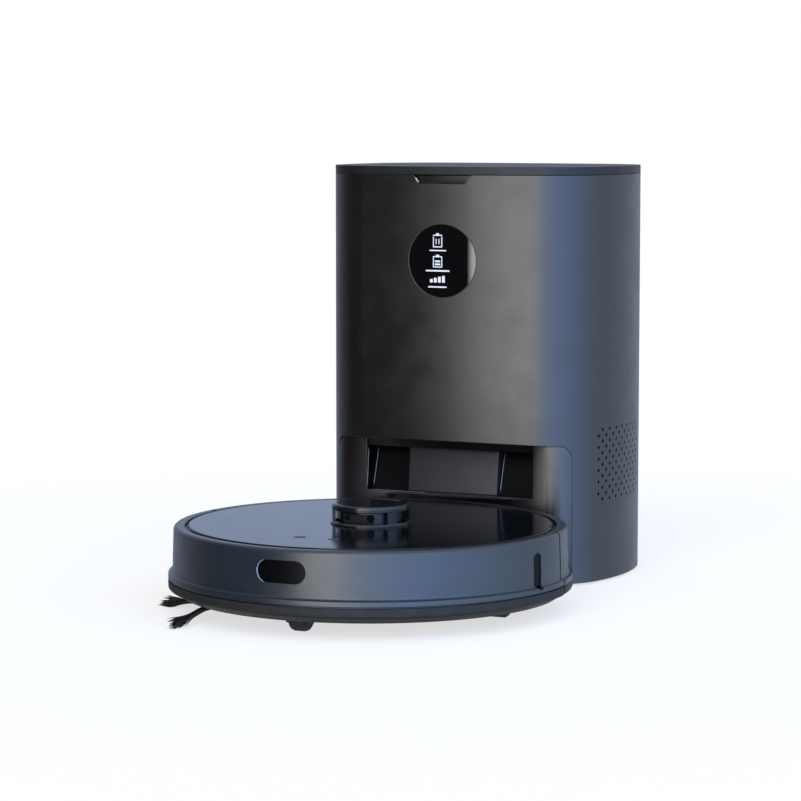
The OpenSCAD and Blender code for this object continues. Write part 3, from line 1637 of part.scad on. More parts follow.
dock_shell();
dock_base();
dock_feet();
bay_panel();
signal_window();
signal_cover();
port_seal();
rear_panel();
dock_screws();
power_inlet();
bag_tub();
lid_seal();
dust_bag();
bag_collar();
fan_housing();
dock_motor();
dock_fan();
dust_duct();
display_window();
display_board();
vent_panel_right();
vent_panel_left();
dock_lid();
lid_pins();
contact_right();
contact_left();
chassis();
upper_shell();
top_panel();
bumper();
bumper_strip();
bumper_window();
side_window();
lidar_cap();
lidar_rotor();
lidar_lenses();
lidar_base();
lidar_pulley();
lidar_belt();
drive_arm_right();
drive_arm_left();
wheel_right();
wheel_left();
caster_fork();
caster_wheel();
main_brush();
brush_bearings();
brush_guard();
side_brush();
battery();
battery_door();
dust_bin();
bin_filter();
robot_fan_housing();
robot_fan();
main_board();
power_button();
home_button();
charge_plates();
cliff_sensors();
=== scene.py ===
# %% [markdown]
# # A robot vacuum parked in its self-emptying dock
# The moving machine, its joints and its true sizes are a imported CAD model. This lesson loads
# it as a fixed frame and adds what a moulding shop, a brush maker and a photographer add:
# the plastics' finishes, the soft pieces, the small bright edges, the studio and the camera.
# Lengths are in metres; the row frame has +Z up, and the robot's front faces -Y.

# %% Load the frame and keep its size
import json
import math

import bmesh
import bpy
import numpy as np
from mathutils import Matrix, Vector


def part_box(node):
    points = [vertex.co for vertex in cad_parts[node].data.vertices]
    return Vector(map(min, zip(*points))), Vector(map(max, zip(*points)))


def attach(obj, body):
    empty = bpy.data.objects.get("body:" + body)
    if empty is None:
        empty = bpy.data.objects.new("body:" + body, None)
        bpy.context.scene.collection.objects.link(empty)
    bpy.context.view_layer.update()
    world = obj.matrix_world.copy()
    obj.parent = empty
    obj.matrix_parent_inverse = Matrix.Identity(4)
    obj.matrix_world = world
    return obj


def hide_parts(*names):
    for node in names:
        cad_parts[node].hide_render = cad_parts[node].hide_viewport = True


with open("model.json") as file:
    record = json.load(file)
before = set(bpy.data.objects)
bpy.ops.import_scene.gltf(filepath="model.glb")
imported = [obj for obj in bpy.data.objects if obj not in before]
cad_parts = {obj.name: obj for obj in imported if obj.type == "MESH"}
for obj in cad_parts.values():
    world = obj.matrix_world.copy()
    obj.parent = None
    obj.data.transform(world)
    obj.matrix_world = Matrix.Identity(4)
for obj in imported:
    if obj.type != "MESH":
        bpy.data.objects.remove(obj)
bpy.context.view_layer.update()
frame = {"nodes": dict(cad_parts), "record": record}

# %% [markdown]
# ## One way to write a colour, and one way to add a node
# A designer picks colours as sRGB hex, as on a colour card, but the shader works in linear
# light. One function turns the first into the second, so no colour is typed twice. Every
# pattern below is a small graph, so one helper adds a node, sets it and wires it.


# %% Colour and node helpers
def rgb(text):
    """An sRGB hex colour as linear RGBA: c/12.92 below 0.04045, else ((c + 0.055)/1.055)^2.4."""
    parts = [int(text[i : i + 2], 16) / 255 for i in (1, 3, 5)]
    return [c / 12.92 if c <= 0.04045 else ((c + 0.055) / 1.055) ** 2.4 for c in parts] + [1]


def add_node(tree, kind, links=(), **values):
    """Adds a node, sets its inputs and settings, and links (output, input name) pairs.
    A space in an input's name is written as two underscores."""
    node = tree.nodes.new(kind)
    for key, value in values.items():
        name = key.replace("__", " ")
        if name in node.inputs:
            node.inputs[name].default_value = value
        else:
            setattr(node, key, value)
    for source, target in links:
        tree.links.new(source, node.inputs[target])
    return node


print("mid grey #808080 in linear light:", round(rgb("#808080")[0], 3))

# %% [markdown]
# ## What every moulded surface has
# A moulding is never one flat colour. Its tool is eroded by sparks to a fine grain, the
# resin's pigment drifts by a few percent over a hand's breadth, and handling polishes it
# unevenly. So each finish gets a slow drift of colour and gloss, and a grain whose pitch is a
# real size in millimetres. Values that are the same all over sit on the shader's own sockets.

# %% A finish: colour drift, uneven gloss and grain
DRIFT_PITCH = 0.060  # the colour drifts over a hand's breadth
PATCH_PITCH = 0.025  # the gloss changes over a fingertip's rub
GLOSS_SWING = 0.1  # how far a patch's roughness moves, as a share of itself
NOISE_LOW, NOISE_HIGH = 0.3, 0.7  # nearly all of a noise's values lie between these
GRAIN_DEPTH = 0.0003  # the bump's height where a grain's strength is 1


def finish(name, colour, roughness, drift=0.06, grain_mm=0.0, grain=0.0, edge_mm=0.0, **sockets):
    """A finish from three layers. Colour: noise of 60 mm pitch blends colour*(1 - drift) with
    colour*(1 + drift). Gloss: noise of 25 mm pitch moves roughness by a tenth of itself.
    Grain: noise of grain_mm pitch drives a bump. edge_mm rounds the light on sharp edges, as
    the tool's own corner radius does."""
    mat = bpy.data.materials.new(name)
    mat.use_nodes = True
    tree = mat.node_tree
    shader = tree.nodes["Principled BSDF"]
    for key, value in sockets.items():
        shader.inputs[key.replace("__", " ")].default_value = value
    base = rgb(colour)
    where = [(add_node(tree, "ShaderNodeTexCoord").outputs["Object"], "Vector")]
    slow = add_node(tree, "ShaderNodeTexNoise", where, Scale=1 / DRIFT_PITCH, Detail=3.0)
    tones = add_node(tree, "ShaderNodeValToRGB", [(slow.outputs["Fac"], "Fac")])
    stops = ((NOISE_LOW, 1 - drift), (NOISE_HIGH, 1 + drift))
    for element, (position, factor) in zip(tones.color_ramp.elements, stops):
        element.position = position
        element.color = [min(c * factor, 1) for c in base[:3]] + [1]
    tree.links.new(tones.outputs["Color"], shader.inputs["Base Color"])
    patches = add_node(tree, "ShaderNodeTexNoise", where, Scale=1 / PATCH_PITCH, Detail=2.0)
    gloss = add_node(
        tree, "ShaderNodeMapRange", [(patches.outputs["Fac"], "Value")],
        From__Min=NOISE_LOW, From__Max=NOISE_HIGH,
        To__Min=roughness * (1 - GLOSS_SWING), To__Max=min(roughness * (1 + GLOSS_SWING), 1.0),
    )
    tree.links.new(gloss.outputs["Result"], shader.inputs["Roughness"])
    normal = None
    if edge_mm:
        rounded = add_node(tree, "ShaderNodeBevel", samples=4, Radius=edge_mm / 1000)
        normal = rounded.outputs["Normal"]
    if grain:
        fine = add_node(
            tree, "ShaderNodeTexNoise", where, Scale=1000 / grain_mm, Detail=2.0, Roughness=0.5
        )
        bump = add_node(
            tree, "ShaderNodeBump",
            [(fine.outputs["Fac"], "Height")] + ([(normal, "Normal")] if normal else []),
            Strength=grain, Distance=GRAIN_DEPTH,
        )
        normal = bump.outputs["Normal"]
    if normal:
        tree.links.new(normal, shader.inputs["Normal"])
    mat.diffuse_color = base
    return mat


FINISHES = {}


def make_finishes(table):
    """Makes each slot's finish from its name, colour, roughness and other layers."""
    for slot, (name, colour, roughness, layers) in table.items():
        FINISHES[slot] = finish(name, colour, roughness, **layers)
    print("made", ", ".join(row[0] for row in table.values()))


# %% [markdown]
# ## The dock's and the robot's outer plastics
# The dock is injection-moulded ABS from a spark-eroded tool: a satin that spreads a softbox
# into a broad vertical glow. The robot's band is the same plastic with a bluer pigment. The
# belly parts are coarser and duller, because nobody sees them. Real grain is about 0.1 mm;
# it is drawn at 0.9 mm, the finest that still shows from two metres.

# %% Moulded outer plastics
make_finishes({
    # a fine spark-eroded tool: a satin that turns a softbox into one broad glow
    "shell_plastic": ("satin_graphite_abs", "#0c0a0b", 0.355, dict(
        grain_mm=0.9, grain=0.10, edge_mm=0.7, Specular__IOR__Level=0.73)),
    # the same grain in a blue-black resin: a cool band with soft highlights
    "robot_plastic": ("satin_blue_black_abs", "#182027", 0.36, dict(
        grain_mm=0.9, grain=0.08, edge_mm=0.6, Specular__IOR__Level=0.7)),
    # a coarse tool that hides scuffs: dull, nearly without highlights
    "belly_plastic": ("coarse_black_abs", "#15171a", 0.6, dict(
        grain_mm=1.4, grain=0.3, edge_mm=0.5)),
    # a lightly eroded tool: an even matt grey that sets the windows off
    "cover_plastic": ("matt_grey_cover_abs", "#1d1d1e", 0.5, dict(
        grain_mm=0.9, grain=0.08, edge_mm=0.5)),
})

# %% [markdown]
# ## Polished covers and smoked windows
# The robot's top disc and the display are polished acrylic, pressed against a mirror-finished
# tool, so they show the room. Sensor windows are smoked polycarbonate: black to the eye, open
# to infrared. Their faces are left slightly matt, so that they look evenly dark.

# %% Gloss, smoke and glass
make_finishes({
    # pressed against a polished tool: black, with the room seen dimly in it
    "panel_gloss": ("polished_black_acrylic", "#06090e", 0.14, dict(
        drift=0.02, edge_mm=0.4, Specular__IOR__Level=0.17)),
    # a tool polished with fine stones: small crisp highlights round the turret
    "turret_plastic": ("semi_gloss_turret_abs", "#14161a", 0.17, dict(
        drift=0.04, edge_mm=0.6)),
    # dyed through and left slightly matt: an evenly dark pane
    "sensor_window": ("smoked_polycarbonate", "#050607", 0.30, dict(
        drift=0.03, Specular__IOR__Level=0.08)),
    # ground and coated glass: a deep dot with one sharp point of light
    "lens": ("dark_lens_glass", "#0b1018", 0.06, dict(drift=0.02, Coat__Weight=0.4)),
})
# the display's cover is cast flat and polished: it mirrors the softbox's edge sharply
DISPLAY_GLASS = finish("display_acrylic", "#050506", 0.012, drift=0.02, Specular__IOR__Level=1.0)
print("the display's glass is", DISPLAY_GLASS.name)

# %% [markdown]
# ## Inside: engineering plastics, rubbers, fibres
# Hidden mouldings are undyed grey ABS and nylon. Tyres and seals are matt rubber that keeps
# the mould's bloom. Bristles are extruded nylon monofilament, shiny along their length. The
# dust bag is melt-blown fleece: thrown fibres with no weave, a soft sheen and a slight fuzz.

# %% Inner plastics, rubbers and soft materials
make_finishes({
    # moulded without dye or polish: plain grey with a faint grain
    "inner_plastic": ("undyed_grey_abs", "#484a4e", 0.5, dict(grain_mm=1.2, grain=0.1)),
    # nylon from a smooth tool, for quiet air: a little glossier than the housings
    "fan_plastic": ("moulded_fan_nylon", "#56585d", 0.42, dict(grain_mm=1.2, grain=0.06)),
    # pressed and cured, with the mould's bloom left on: deep matt black
    "rubber": ("matt_black_rubber", "#101011", 0.72, dict(grain_mm=1.6, grain=0.25)),
    # rubber worn by floors: uneven, grey-black and rough
    "tyre": ("tyre_rubber", "#161617", 0.78, dict(drift=0.12, grain_mm=2.2, grain=0.5)),
    # injected soft polyurethane: a dim satin along each vane
    "brush_rubber": ("blue_grey_tpu", "#1e242d", 0.55, dict(grain_mm=1.2, grain=0.1)),
    # drawn through a die: a thin line of light along each thread
    "bristle": ("nylon_monofilament", "#0d0d0e", 0.42, dict(drift=0.2)),
    # hot fibres blown on a belt: off-white, fuzzy, with a soft sheen at the edges
    "bag_fleece": ("melt_blown_fleece", "#dcd8cc", 0.92, dict(
        drift=0.08, grain_mm=1.5, grain=0.9, Sheen__Weight=0.25)),
    # pulp pressed and dried: a warm grey, mottled and quite matt
    "card": ("pressed_grey_card", "#b4a88e", 0.88, dict(drift=0.1, grain_mm=2.0, grain=0.3)),
    # wet-laid paper, folded: a pale matt face for each pleat
    "filter_paper": ("pleated_filter_paper", "#dedbd0", 0.92, dict(
        drift=0.05, grain_mm=1.0, grain=0.3)),
})

# %% [markdown]
# ## Metals, the board and the battery's wrap
# Axles and screws are turned steel, so their gloss is drawn out by fine tool marks; contacts
# are nickel-plated brass worn by docking. A metal keeps the default index of refraction and
# gets its look from its colour. The board is green solder mask, the battery shrink-wrap.

# %% Metals and electrics
make_finishes({
    # turned on a lathe: a grey shine broken up by tool marks
    "steel": ("turned_steel", "#b2b3b6", 0.34, dict(
        drift=0.08, grain_mm=0.8, grain=0.12, Metallic=1.0)),
    # stamped and plated, worn through by docking: a soft warm shine
    "contact_brass": ("plated_brass", "#c8a860", 0.3, dict(drift=0.1, Metallic=1.0)),
    # printed lacquer over copper: a green satin with a slight ripple
    "board": ("solder_mask_board", "#134a2a", 0.45, dict(drift=0.15, grain_mm=3, grain=0.3)),
    # a sleeve shrunk with hot air: blue, with a soft gloss
    "battery_wrap": ("pvc_shrink_wrap", "#203b5b", 0.35, dict(drift=0.08)),
})

# %% [markdown]
# ## Every CAD piece gets its finish
# A piece takes the finish of its material slot. Four depart from it. The display is acrylic.
# The lid lies flat under the ceiling, and its tool is duller than the wall's, so that it does
# not glare. The scanner's rotor and base are dyed black, to keep stray light off the sensor.

# %% Dress the CAD pieces
# an eroded, unpolished tool: a flat dark top with hardly a highlight
LID_PLASTIC = finish(
    "matt_lid_abs", "#101012", 0.5, grain_mm=0.9, grain=0.10, edge_mm=0.9,
    Specular__IOR__Level=0.4,
)
# dyed black and lightly polished: a dark core with thin lines of light
SCANNER_BLACK = finish("black_scanner_abs", "#0a0b0e", 0.35, drift=0.04, edge_mm=0.4)
OWN_FINISH = {
    "display_window": DISPLAY_GLASS, "dock_lid": LID_PLASTIC,
    "lidar_rotor": SCANNER_BLACK, "lidar_base": SCANNER_BLACK,
}
for row in frame["record"]["subparts"]:
    materials = frame["nodes"][row["node"]].data.materials
    materials.clear()
    materials.append(OWN_FINISH.get(row["node"], FINISHES[row["material_slot"]]))

# %% [markdown]
# ## Helpers for modelled pieces
# Each new piece is a grid of points worked out as whole arrays, joined by quads. It becomes an
# object at the frame's origin that rides on one body.


# %% Meshes from grids
def grid_faces(rows, cols, wrap_rows=False, wrap_cols=False, offset=0):
    """Quads over rows by cols points numbered row by row: (r,c), (r,c+1), (r+1,c+1), (r+1,c)."""
    r = np.arange(rows if wrap_rows else rows - 1)
    c = np.arange(cols if wrap_cols else cols - 1)
    rr, cc = (g.ravel() for g in np.meshgrid(r, c, indexing="ij"))
    r2, c2 = (rr + 1) % rows, (cc + 1) % cols
    return offset + np.stack([rr * cols + cc, rr * cols + c2, r2 * cols + c2, r2 * cols + cc], 1)


def together(parts):
    """Several (points, faces) pairs as one: each part's face numbers move up by the points
    that stand before it."""
    starts = np.cumsum([0] + [len(points) for points, _ in parts[:-1]])
    return (
        np.concatenate([points for points, _ in parts]),
        np.concatenate([faces + start for (_, faces), start in zip(parts, starts)]),
    )


def triples(items, field):
    """A field of three numbers, read from every vertex or face as an array."""
    out = np.zeros(3 * len(items))
    items.foreach_get(field, out)
    return out.reshape(-1, 3)


def show(name, data, body):
    """An object of a mesh, put in the scene, that rides on a body."""
    obj = bpy.data.objects.new(name, data)
    bpy.context.scene.collection.objects.link(obj)
    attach(obj, body)
    return obj


def add_piece(name, shape, body, slot, material=None, smooth=True):
    """A mesh object from (points, faces) that rides on a body and takes a slot's finish. Its
    faces are turned outwards, and points that fall together are joined."""
    points, faces = shape
    data = bpy.data.meshes.new(name)
    data.from_pydata(np.asarray(points, float).tolist(), [], np.asarray(faces).tolist())
    work = bmesh.new()
    work.from_mesh(data)
    bmesh.ops.remove_doubles(work, verts=work.verts, dist=1e-7)
    bmesh.ops.recalc_face_normals(work, faces=work.faces)
    work.to_mesh(data)
    work.free()
    data.polygons.foreach_set("use_smooth", [smooth] * len(data.polygons))
    data.materials.append(material or FINISHES[slot])
    print(name, len(data.polygons), "faces on", body)
    return show(name, data, body)


print("a 3 by 4 grid makes", len(grid_faces(3, 4)), "quads")

# %% [markdown]
# ## Tubes, rods and turned shapes
# A tube follows a path: a small ring stands square to the path at every step. Open tubes end
# in a point, and a closed one joins its last ring to its first. A turned shape is a profile
# carried round an upright line, as on a lathe.


# %% Meshes from paths and profiles
def tubes(paths, radius, sides=6, closed=False):
    """Tubes round many paths of one length. paths is (count, steps, 3), radius (count, steps).
    A ring is path + radius*(cos a*across + sin a*over), with across square to the path and
    level, and over square to both."""
    paths = np.asarray(paths, float)
    count, steps, _ = paths.shape
    if closed:
        along = np.roll(paths, -1, axis=1) - np.roll(paths, 1, axis=1)
    else:
        along = np.gradient(paths, axis=1)
    along /= np.linalg.norm(along, axis=2, keepdims=True)
    helper = np.where(np.abs(along[..., 2:]) > 0.95, (1.0, 0.0, 0.0), (0.0, 0.0, 1.0))
    across = np.cross(along, (0.0, 1.0, 0.0) if closed else helper)
    across /= np.linalg.norm(across, axis=2, keepdims=True)
    over = np.cross(across, along)
    a = np.linspace(0, 2 * np.pi, sides, endpoint=False)
    ring = np.cos(a)[:, None] * across[:, :, None] + np.sin(a)[:, None] * over[:, :, None]
    points = (paths[:, :, None] + np.asarray(radius)[:, :, None, None] * ring).reshape(-1, 3)
    each = steps * sides
    faces = [
        grid_faces(steps, sides, wrap_rows=closed, wrap_cols=True, offset=i * each)
        for i in range(count)
    ]
    return points, np.concatenate(faces)


def rod(start, end, thick, steps=9):
    """A straight round rod with rounded ends: radius = thick*sqrt(1 - end distance^2) within
    one thickness of each end."""
    t = np.linspace(0, 1, steps)
    length = np.linalg.norm(np.subtract(end, start))
    near = np.minimum(t, 1 - t) * length / thick
    radius = thick * np.sqrt(np.clip(1 - np.clip(1 - near, 0, 1) ** 2, 1e-12, 1))
    path = np.asarray(start) + t[:, None] * np.subtract(end, start)
    return tubes(path[None], radius[None], sides=8)


def turned(profile, x, y, sides=48):
    """A profile of (radius, height) pairs carried round an upright line at x, y."""
    a = np.linspace(0, 2 * np.pi, sides, endpoint=False)
    r, z = profile[:, :1], profile[:, 1:]
    shape = np.stack([x + r * np.cos(a), y + r * np.sin(a), np.repeat(z, sides, 1)], -1)
    return shape.reshape(-1, 3), grid_faces(len(profile), sides, wrap_cols=True)


print("a rod has", len(rod((0, 0, 0), (0, 0, 1), 0.1)[0]), "points")

# %% [markdown]
# ## The dock's lower front, with its corners rounded
# The panel round the signal recess is one moulding, and its tool has corner radii of nearly a
# millimetre that catch a thin line of light. The CAD solid has sharp corners, so a copy of it
# is shown instead: its loose triangles are joined, flat neighbours become one face, and a
# Bevel modifier rounds what is left. Faces inside the recess stay in the window's dark finish.

# %% A rounded copy of a CAD node
WELD = 1e-5  # points closer than this are one point
FLAT, SHARP = math.radians(0.3), math.radians(35)  # edges to dissolve, and edges to round


def rounded_copy(node, name, body, radius):
    """Joins a copy's points within 0.01 mm, dissolves edges flatter than 0.3 degrees, and
    bevels every edge sharper than 35 degrees by the radius, in three segments."""
    data = frame["nodes"][node].data.copy()
    work = bmesh.new()
    work.from_mesh(data)
    bmesh.ops.remove_doubles(work, verts=work.verts, dist=WELD)
    bmesh.ops.dissolve_limit(work, angle_limit=FLAT, verts=work.verts, edges=work.edges)
    work.to_mesh(data)
    work.free()
    data.polygons.foreach_set("use_smooth", [True] * len(data.polygons))
    obj = show(name, data, body)
    bevel = obj.modifiers.new("corner_radius", "BEVEL")
    bevel.width = radius
    bevel.segments = 3
    bevel.limit_method = "ANGLE"
    bevel.angle_limit = SHARP
    bevel.harden_normals = True
    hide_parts(node)
    print(name, len(data.polygons), "faces before its corners are rounded")
    return obj


window_low, window_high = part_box("signal_window")
left, foot, top = window_low.x, window_low.z, window_high.z
front_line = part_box("bay_panel")[0].y
panel = rounded_copy("bay_panel", "bay_front", "dock", 0.0008)
panel.data.materials.append(FINISHES["sensor_window"])
x, y, z = triples(panel.data.polygons, "center").T
EDGE, TOP_EDGE = 0.001, 0.0005  # how far past the window's edges a face still lines the recess
LIP_DEEP, BACK_EDGE = 0.004, 0.002  # it lies behind the front's lip, up to just past the window
in_recess = (
    (np.abs(x) < window_high.x + EDGE) & (z > foot - EDGE) & (z < top + TOP_EDGE)
    & (y > front_line + LIP_DEEP) & (y < window_high.y + BACK_EDGE)
)
panel.data.polygons.foreach_set("material_index", in_recess.astype(np.int32))
rounded_copy("signal_cover", "signal_cover_front", "dock", 0.0007)
print("faces that line the recess:", int(in_recess.sum()))

# %% [markdown]
# ## Bright edges in the recess
# Where the smoked windows meet their frame, a polished bead of plastic stands proud. Its thin
# bright line is a painted highlight: the bead is given a pale colour. Each is a rod of nearly a
# millimetre laid along the edge: up the frame's left side, up the left side of each window, and
# along the left part of the foot.

# %% Beads along the recess
BEAD = 0.00045  # a bead's radius
SUNK = 0.0001  # a frame bead's line lies this far behind the panel's front
WINDOW_INSET = 0.0012  # from the recess's left edge to the left window's bead
COVER_INSET = 0.0014  # from the cover's right edge to the right window's bead
END_GAP = 0.0006  # a window's bead stops this far from the foot and from the top
FOOT_LONG = 0.062  # the foot's bead ends this far from the left edge
NEAR = 0.0015  # a panel's point this close to a corner belongs to it
panel_points = triples(frame["nodes"]["bay_panel"].data.vertices, "co")


def panel_front(x, z):
    """How far forward the panel stands near a corner of the recess: the lowest y among its
    points within 1.5 mm of x and z."""
    near = np.abs(panel_points[:, [0, 2]] - (x, z)).max(1) < NEAR
    return float(panel_points[near, 1].min()) if near.any() else front_line + NEAR


def upright(x, y_foot, y_top, gap=0.0):
    """A bead up the recess at x, a gap short of its foot and of its top."""
    return rod((x, y_foot, foot + gap), (x, y_top, top - gap), BEAD)


foot_y, top_y = window_low.y, window_high.y - BACK_EDGE
foot_corner, top_corner = panel_front(left, foot), panel_front(left, top)
beads = [
    upright(left, foot_corner + SUNK, top_corner + SUNK),
    upright(left + WINDOW_INSET, foot_y, top_y, END_GAP),
    upright(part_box("signal_cover")[1].x + COVER_INSET, foot_y, top_y, END_GAP),
    rod(
        (left, foot_corner + 5 * SUNK, foot),
        (left + FOOT_LONG, front_line + 6 * SUNK, foot),
        0.8 * BEAD,
    ),
]
# painted highlight: a pale colour on the polished bead draws its thin bright line
bead_highlight_paint = finish("painted_highlight_bead", "#5f6266", 0.3, drift=0.05, Specular__IOR__Level=0.8)
add_piece("recess_beads", together(beads), "dock", "cover_plastic", bead_highlight_paint)

# %% [markdown]
# ## The round display
# Behind the display's acrylic, LEDs light small printed marks: a bin, a battery and a scale
# of suction. They are thin patches laid just proud of the window on the window's own curve,
# and a fine chamfer ring frames it. The marks are generic pictograms.

# %% Marks on the display
DOCK_Y = 0.1665  # the dock's middle, behind the robot's
FRONT_ARC = 0.420  # radius of the dock's broad front
DISPLAY_REACH = 0.1063  # from the dock's middle to the display's face
DISPLAY_Z = 0.2932
MARK_PROUD = 0.00012
MARK_SHIFT = -0.0012  # the marks' middle line, left of the display's
MARK_STEPS = 6


def front_y(x, reach):
    """The dock's front at x: y = middle - (reach - arc + sqrt(arc^2 - x^2))."""
    return DOCK_Y - (reach - FRONT_ARC + np.sqrt(FRONT_ARC**2 - x**2))


def bar(x0, z0, x1, z1):
    """A flat patch on the window between two corners, in millimetres from its middle."""
    x, z = np.meshgrid(np.linspace(x0, x1, MARK_STEPS) / 1000, np.array([z0, z1]) / 1000)
    x, z = x.ravel() + MARK_SHIFT, z.ravel() + DISPLAY_Z
    return np.stack([x, front_y(x, DISPLAY_REACH + MARK_PROUD), z], -1), grid_faces(2, MARK_STEPS)


MARKS = [
    # a bin: its outline, its lid and its handle
    (-7.4, 12.2, -6.5, 21.8), (0.9, 12.2, 1.8, 21.8), (-6.5, 12.2, 0.9, 13.1),
    (-7.4, 22.6, 1.8, 23.6), (-4.2, 23.6, -1.4, 25.0), (-4.6, 15.0, -3.8, 20.0),
    (-1.8, 15.0, -1.0, 20.0), (-10.7, 8.8, 5.6, 9.9),
    # a battery: its outline, its terminal and two cells
    (-7.4, -6.0, -6.5, 4.2), (0.9, -6.0, 1.8, 4.2), (-6.5, -6.0, 0.9, -5.1),
    (-6.5, 3.3, 0.9, 4.2), (-4.4, 4.2, -1.2, 5.6), (-5.4, -4.0, -0.2, -2.4),
    (-5.4, -1.2, -0.2, 0.4), (-14.6, -9.7, 9.0, -8.3),
    # a fan's setting: four steps of a scale over a line
    (-10.4, -19.6, -7.6, -16.6), (-6.4, -19.6, -3.6, -15.4), (-2.4, -19.6, 0.4, -14.4),
    (1.6, -19.6, 4.4, -13.6), (-12.2, -24.3, 6.1, -23.0),
]
# printed and lit from behind: pale, with a faint glow of its own
mark_paint = finish(
    "lit_display_mark", "#c4c6c8", 0.5, drift=0.03,
    Emission__Color=rgb("#ffffff"), Emission__Strength=0.12,
)
add_piece(
    "display_marks", together([bar(*mark) for mark in MARKS]), "dock", "cover_plastic",
    mark_paint, smooth=False,
)

# %% [markdown]
# ## The display's ring
# The hole for the display is turned with a fine chamfer, which shows as a thin round line.
# It is a closed tube of a third of a millimetre on the front's curve, given a grey colour as a
# painted highlight of the chamfer.

# %% Chamfer ring
RING_RADIUS, RING_THICK, RING_STEPS = 0.0334, 0.00032, 120
angles = np.linspace(0, 2 * np.pi, RING_STEPS, endpoint=False)
x = RING_RADIUS * np.cos(angles)
ring_path = np.stack([x, front_y(x, DISPLAY_REACH), DISPLAY_Z + RING_RADIUS * np.sin(angles)], -1)
ring_thick = np.full((1, RING_STEPS), RING_THICK)
# painted highlight: a crisp grey line stands in for the light on the chamfer
ring_highlight_paint = finish("painted_highlight_ring_abs", "#3a3a3c", 0.25, drift=0.05)
ring_shape = tubes(ring_path[None], ring_thick, sides=8, closed=True)
add_piece("display_ring", ring_shape, "dock", "cover_plastic", ring_highlight_paint)

# %% [markdown]
# ## The finger notch under the lid
# A fingertip lifts the lid at a shallow scoop in the wall's top edge. The real scoop is a
# concave moulding with polished cheeks: its upper part catches the light ahead, its foot goes
# dark, one cheek glints and the other stays black. The solid has the cut, and this liner,
# three tenths of a millimetre thick, gives it the scoop. The left cheek's glint is helped by a
# painted highlight: a short rod in a pale colour along its edge.

# %% Scoop and cheeks
WALL_REACH = 0.106  # from the dock's middle to the wall's face
NOTCH_FOOT, NOTCH_TALL = 0.3627, 0.0077
NOTCH_HALF, NOTCH_LEAN = 0.0229, 0.0057  # half width at the foot, and its growth to the top
NOTCH_DEEP = 0.0033
SCOOP_BEHIND, CHEEK_BEHIND = 0.0005, 0.0002  # where the liner starts behind the wall's face
LINER_THICK = 0.0003
GLINT_THICK = 0.0009


def notch_sheet(across, up, share, behind):
    """The liner's points. Sideways: across*(half + lean*up). Height: foot + tall*up. Behind
    the wall's face: behind + share*deep*sqrt(1 - (1 - up)^2)."""
    x = across * (NOTCH_HALF + NOTCH_LEAN * up)
    y = front_y(x, WALL_REACH) + behind + share * NOTCH_DEEP * np.sqrt(1 - (1 - up) ** 2)
    return np.stack([x, y, NOTCH_FOOT + NOTCH_TALL * up], -1)


def liner(name, sheets, paint):
    """A piece of the liner from its sheets of points, given its thickness."""
    shape = together([(sheet.reshape(-1, 3), grid_faces(*sheet.shape[:2])) for sheet in sheets])
    wall = add_piece(name, shape, "dock", "shell_plastic", paint).modifiers.new("wall", "SOLIDIFY")
    wall.thickness = LINER_THICK
    wall.offset = 0.0


# from the eroded tool: satin black, lit at its top and dark at its foot
scoop_paint = finish("scoop_abs", "#08090a", 0.3, drift=0.05, Specular__IOR__Level=0.5)
# the tool's polished sides: one mirrors the light and the other the dark
cheek_paint = finish("polished_cheek_abs", "#0a0b0c", 0.12, drift=0.05, Specular__IOR__Level=1.0)
# painted glint: one short bright stroke, a pale colour on the cheek's corner
glint_paint = finish("painted_glint_abs", "#85898d", 0.3, drift=0.05, Specular__IOR__Level=1.0)
up, across = np.meshgrid(np.linspace(0, 1, 16), np.linspace(-1, 1, 24), indexing="ij")
liner("notch_scoop", [notch_sheet(across, up, 1.0, SCOOP_BEHIND)], scoop_paint)
up, inward = np.meshgrid(np.linspace(0, 1, 16), np.linspace(0, 1, 4), indexing="ij")
behind = CHEEK_BEHIND + (SCOOP_BEHIND - CHEEK_BEHIND) * inward
cheeks = [notch_sheet(side, up, inward, behind) for side in (-1, 1)]
liner("notch_cheeks", cheeks, cheek_paint)
glint_ends = notch_sheet(-1, np.array([0.12, 0.72]), 0.0, 0.0007)
add_piece("notch_glint", rod(*glint_ends, GLINT_THICK), "dock", "shell_plastic", glint_paint)

# %% [markdown]
# ## A glint round the bumper's window
# The window sits in a moulded lip, and the lip's left end turns towards the light. Its bright
# crescent is a painted highlight: a rod of about a millimetre in a pale colour, carried round the
# window's left end, on the bumper's own round front, and it thins to a point at both ends.

# %% Crescent at the bumper's window
ROBOT_Y = -0.0895  # the robot's middle
LIP_THICK, LIP_STEPS = 0.00055, 40
LIP_OUT, LIP_SUNK = 0.0003, 0.0001  # its line, outside the window and behind the skin
pill_low, pill_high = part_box("bumper_window")
pill_half = (pill_high.z - pill_low.z) / 2
pill_x, pill_z = pill_low.x + pill_half, (pill_low.z + pill_high.z) / 2
skin = triples(frame["nodes"]["bumper"].data.vertices, "co")
beside = (np.abs(skin[:, 0] - pill_low.x) < 0.004) & (np.abs(skin[:, 2] - pill_z) < 0.012)
beside &= skin[:, 1] < pill_high.y + 0.002
skin_reach = np.hypot(skin[beside, 0], skin[beside, 1] - ROBOT_Y).max()
angles = np.radians(np.linspace(105, 255, LIP_STEPS))
x = pill_x + (pill_half + LIP_OUT) * np.cos(angles)
y = ROBOT_Y - np.sqrt(skin_reach**2 - x**2) + LIP_SUNK
lip = np.stack([x, y, pill_z + (pill_half + LIP_OUT) * np.sin(angles)], -1)
taper = np.sqrt(np.clip(1 - np.linspace(-1, 1, LIP_STEPS) ** 2, 1e-10, 1))
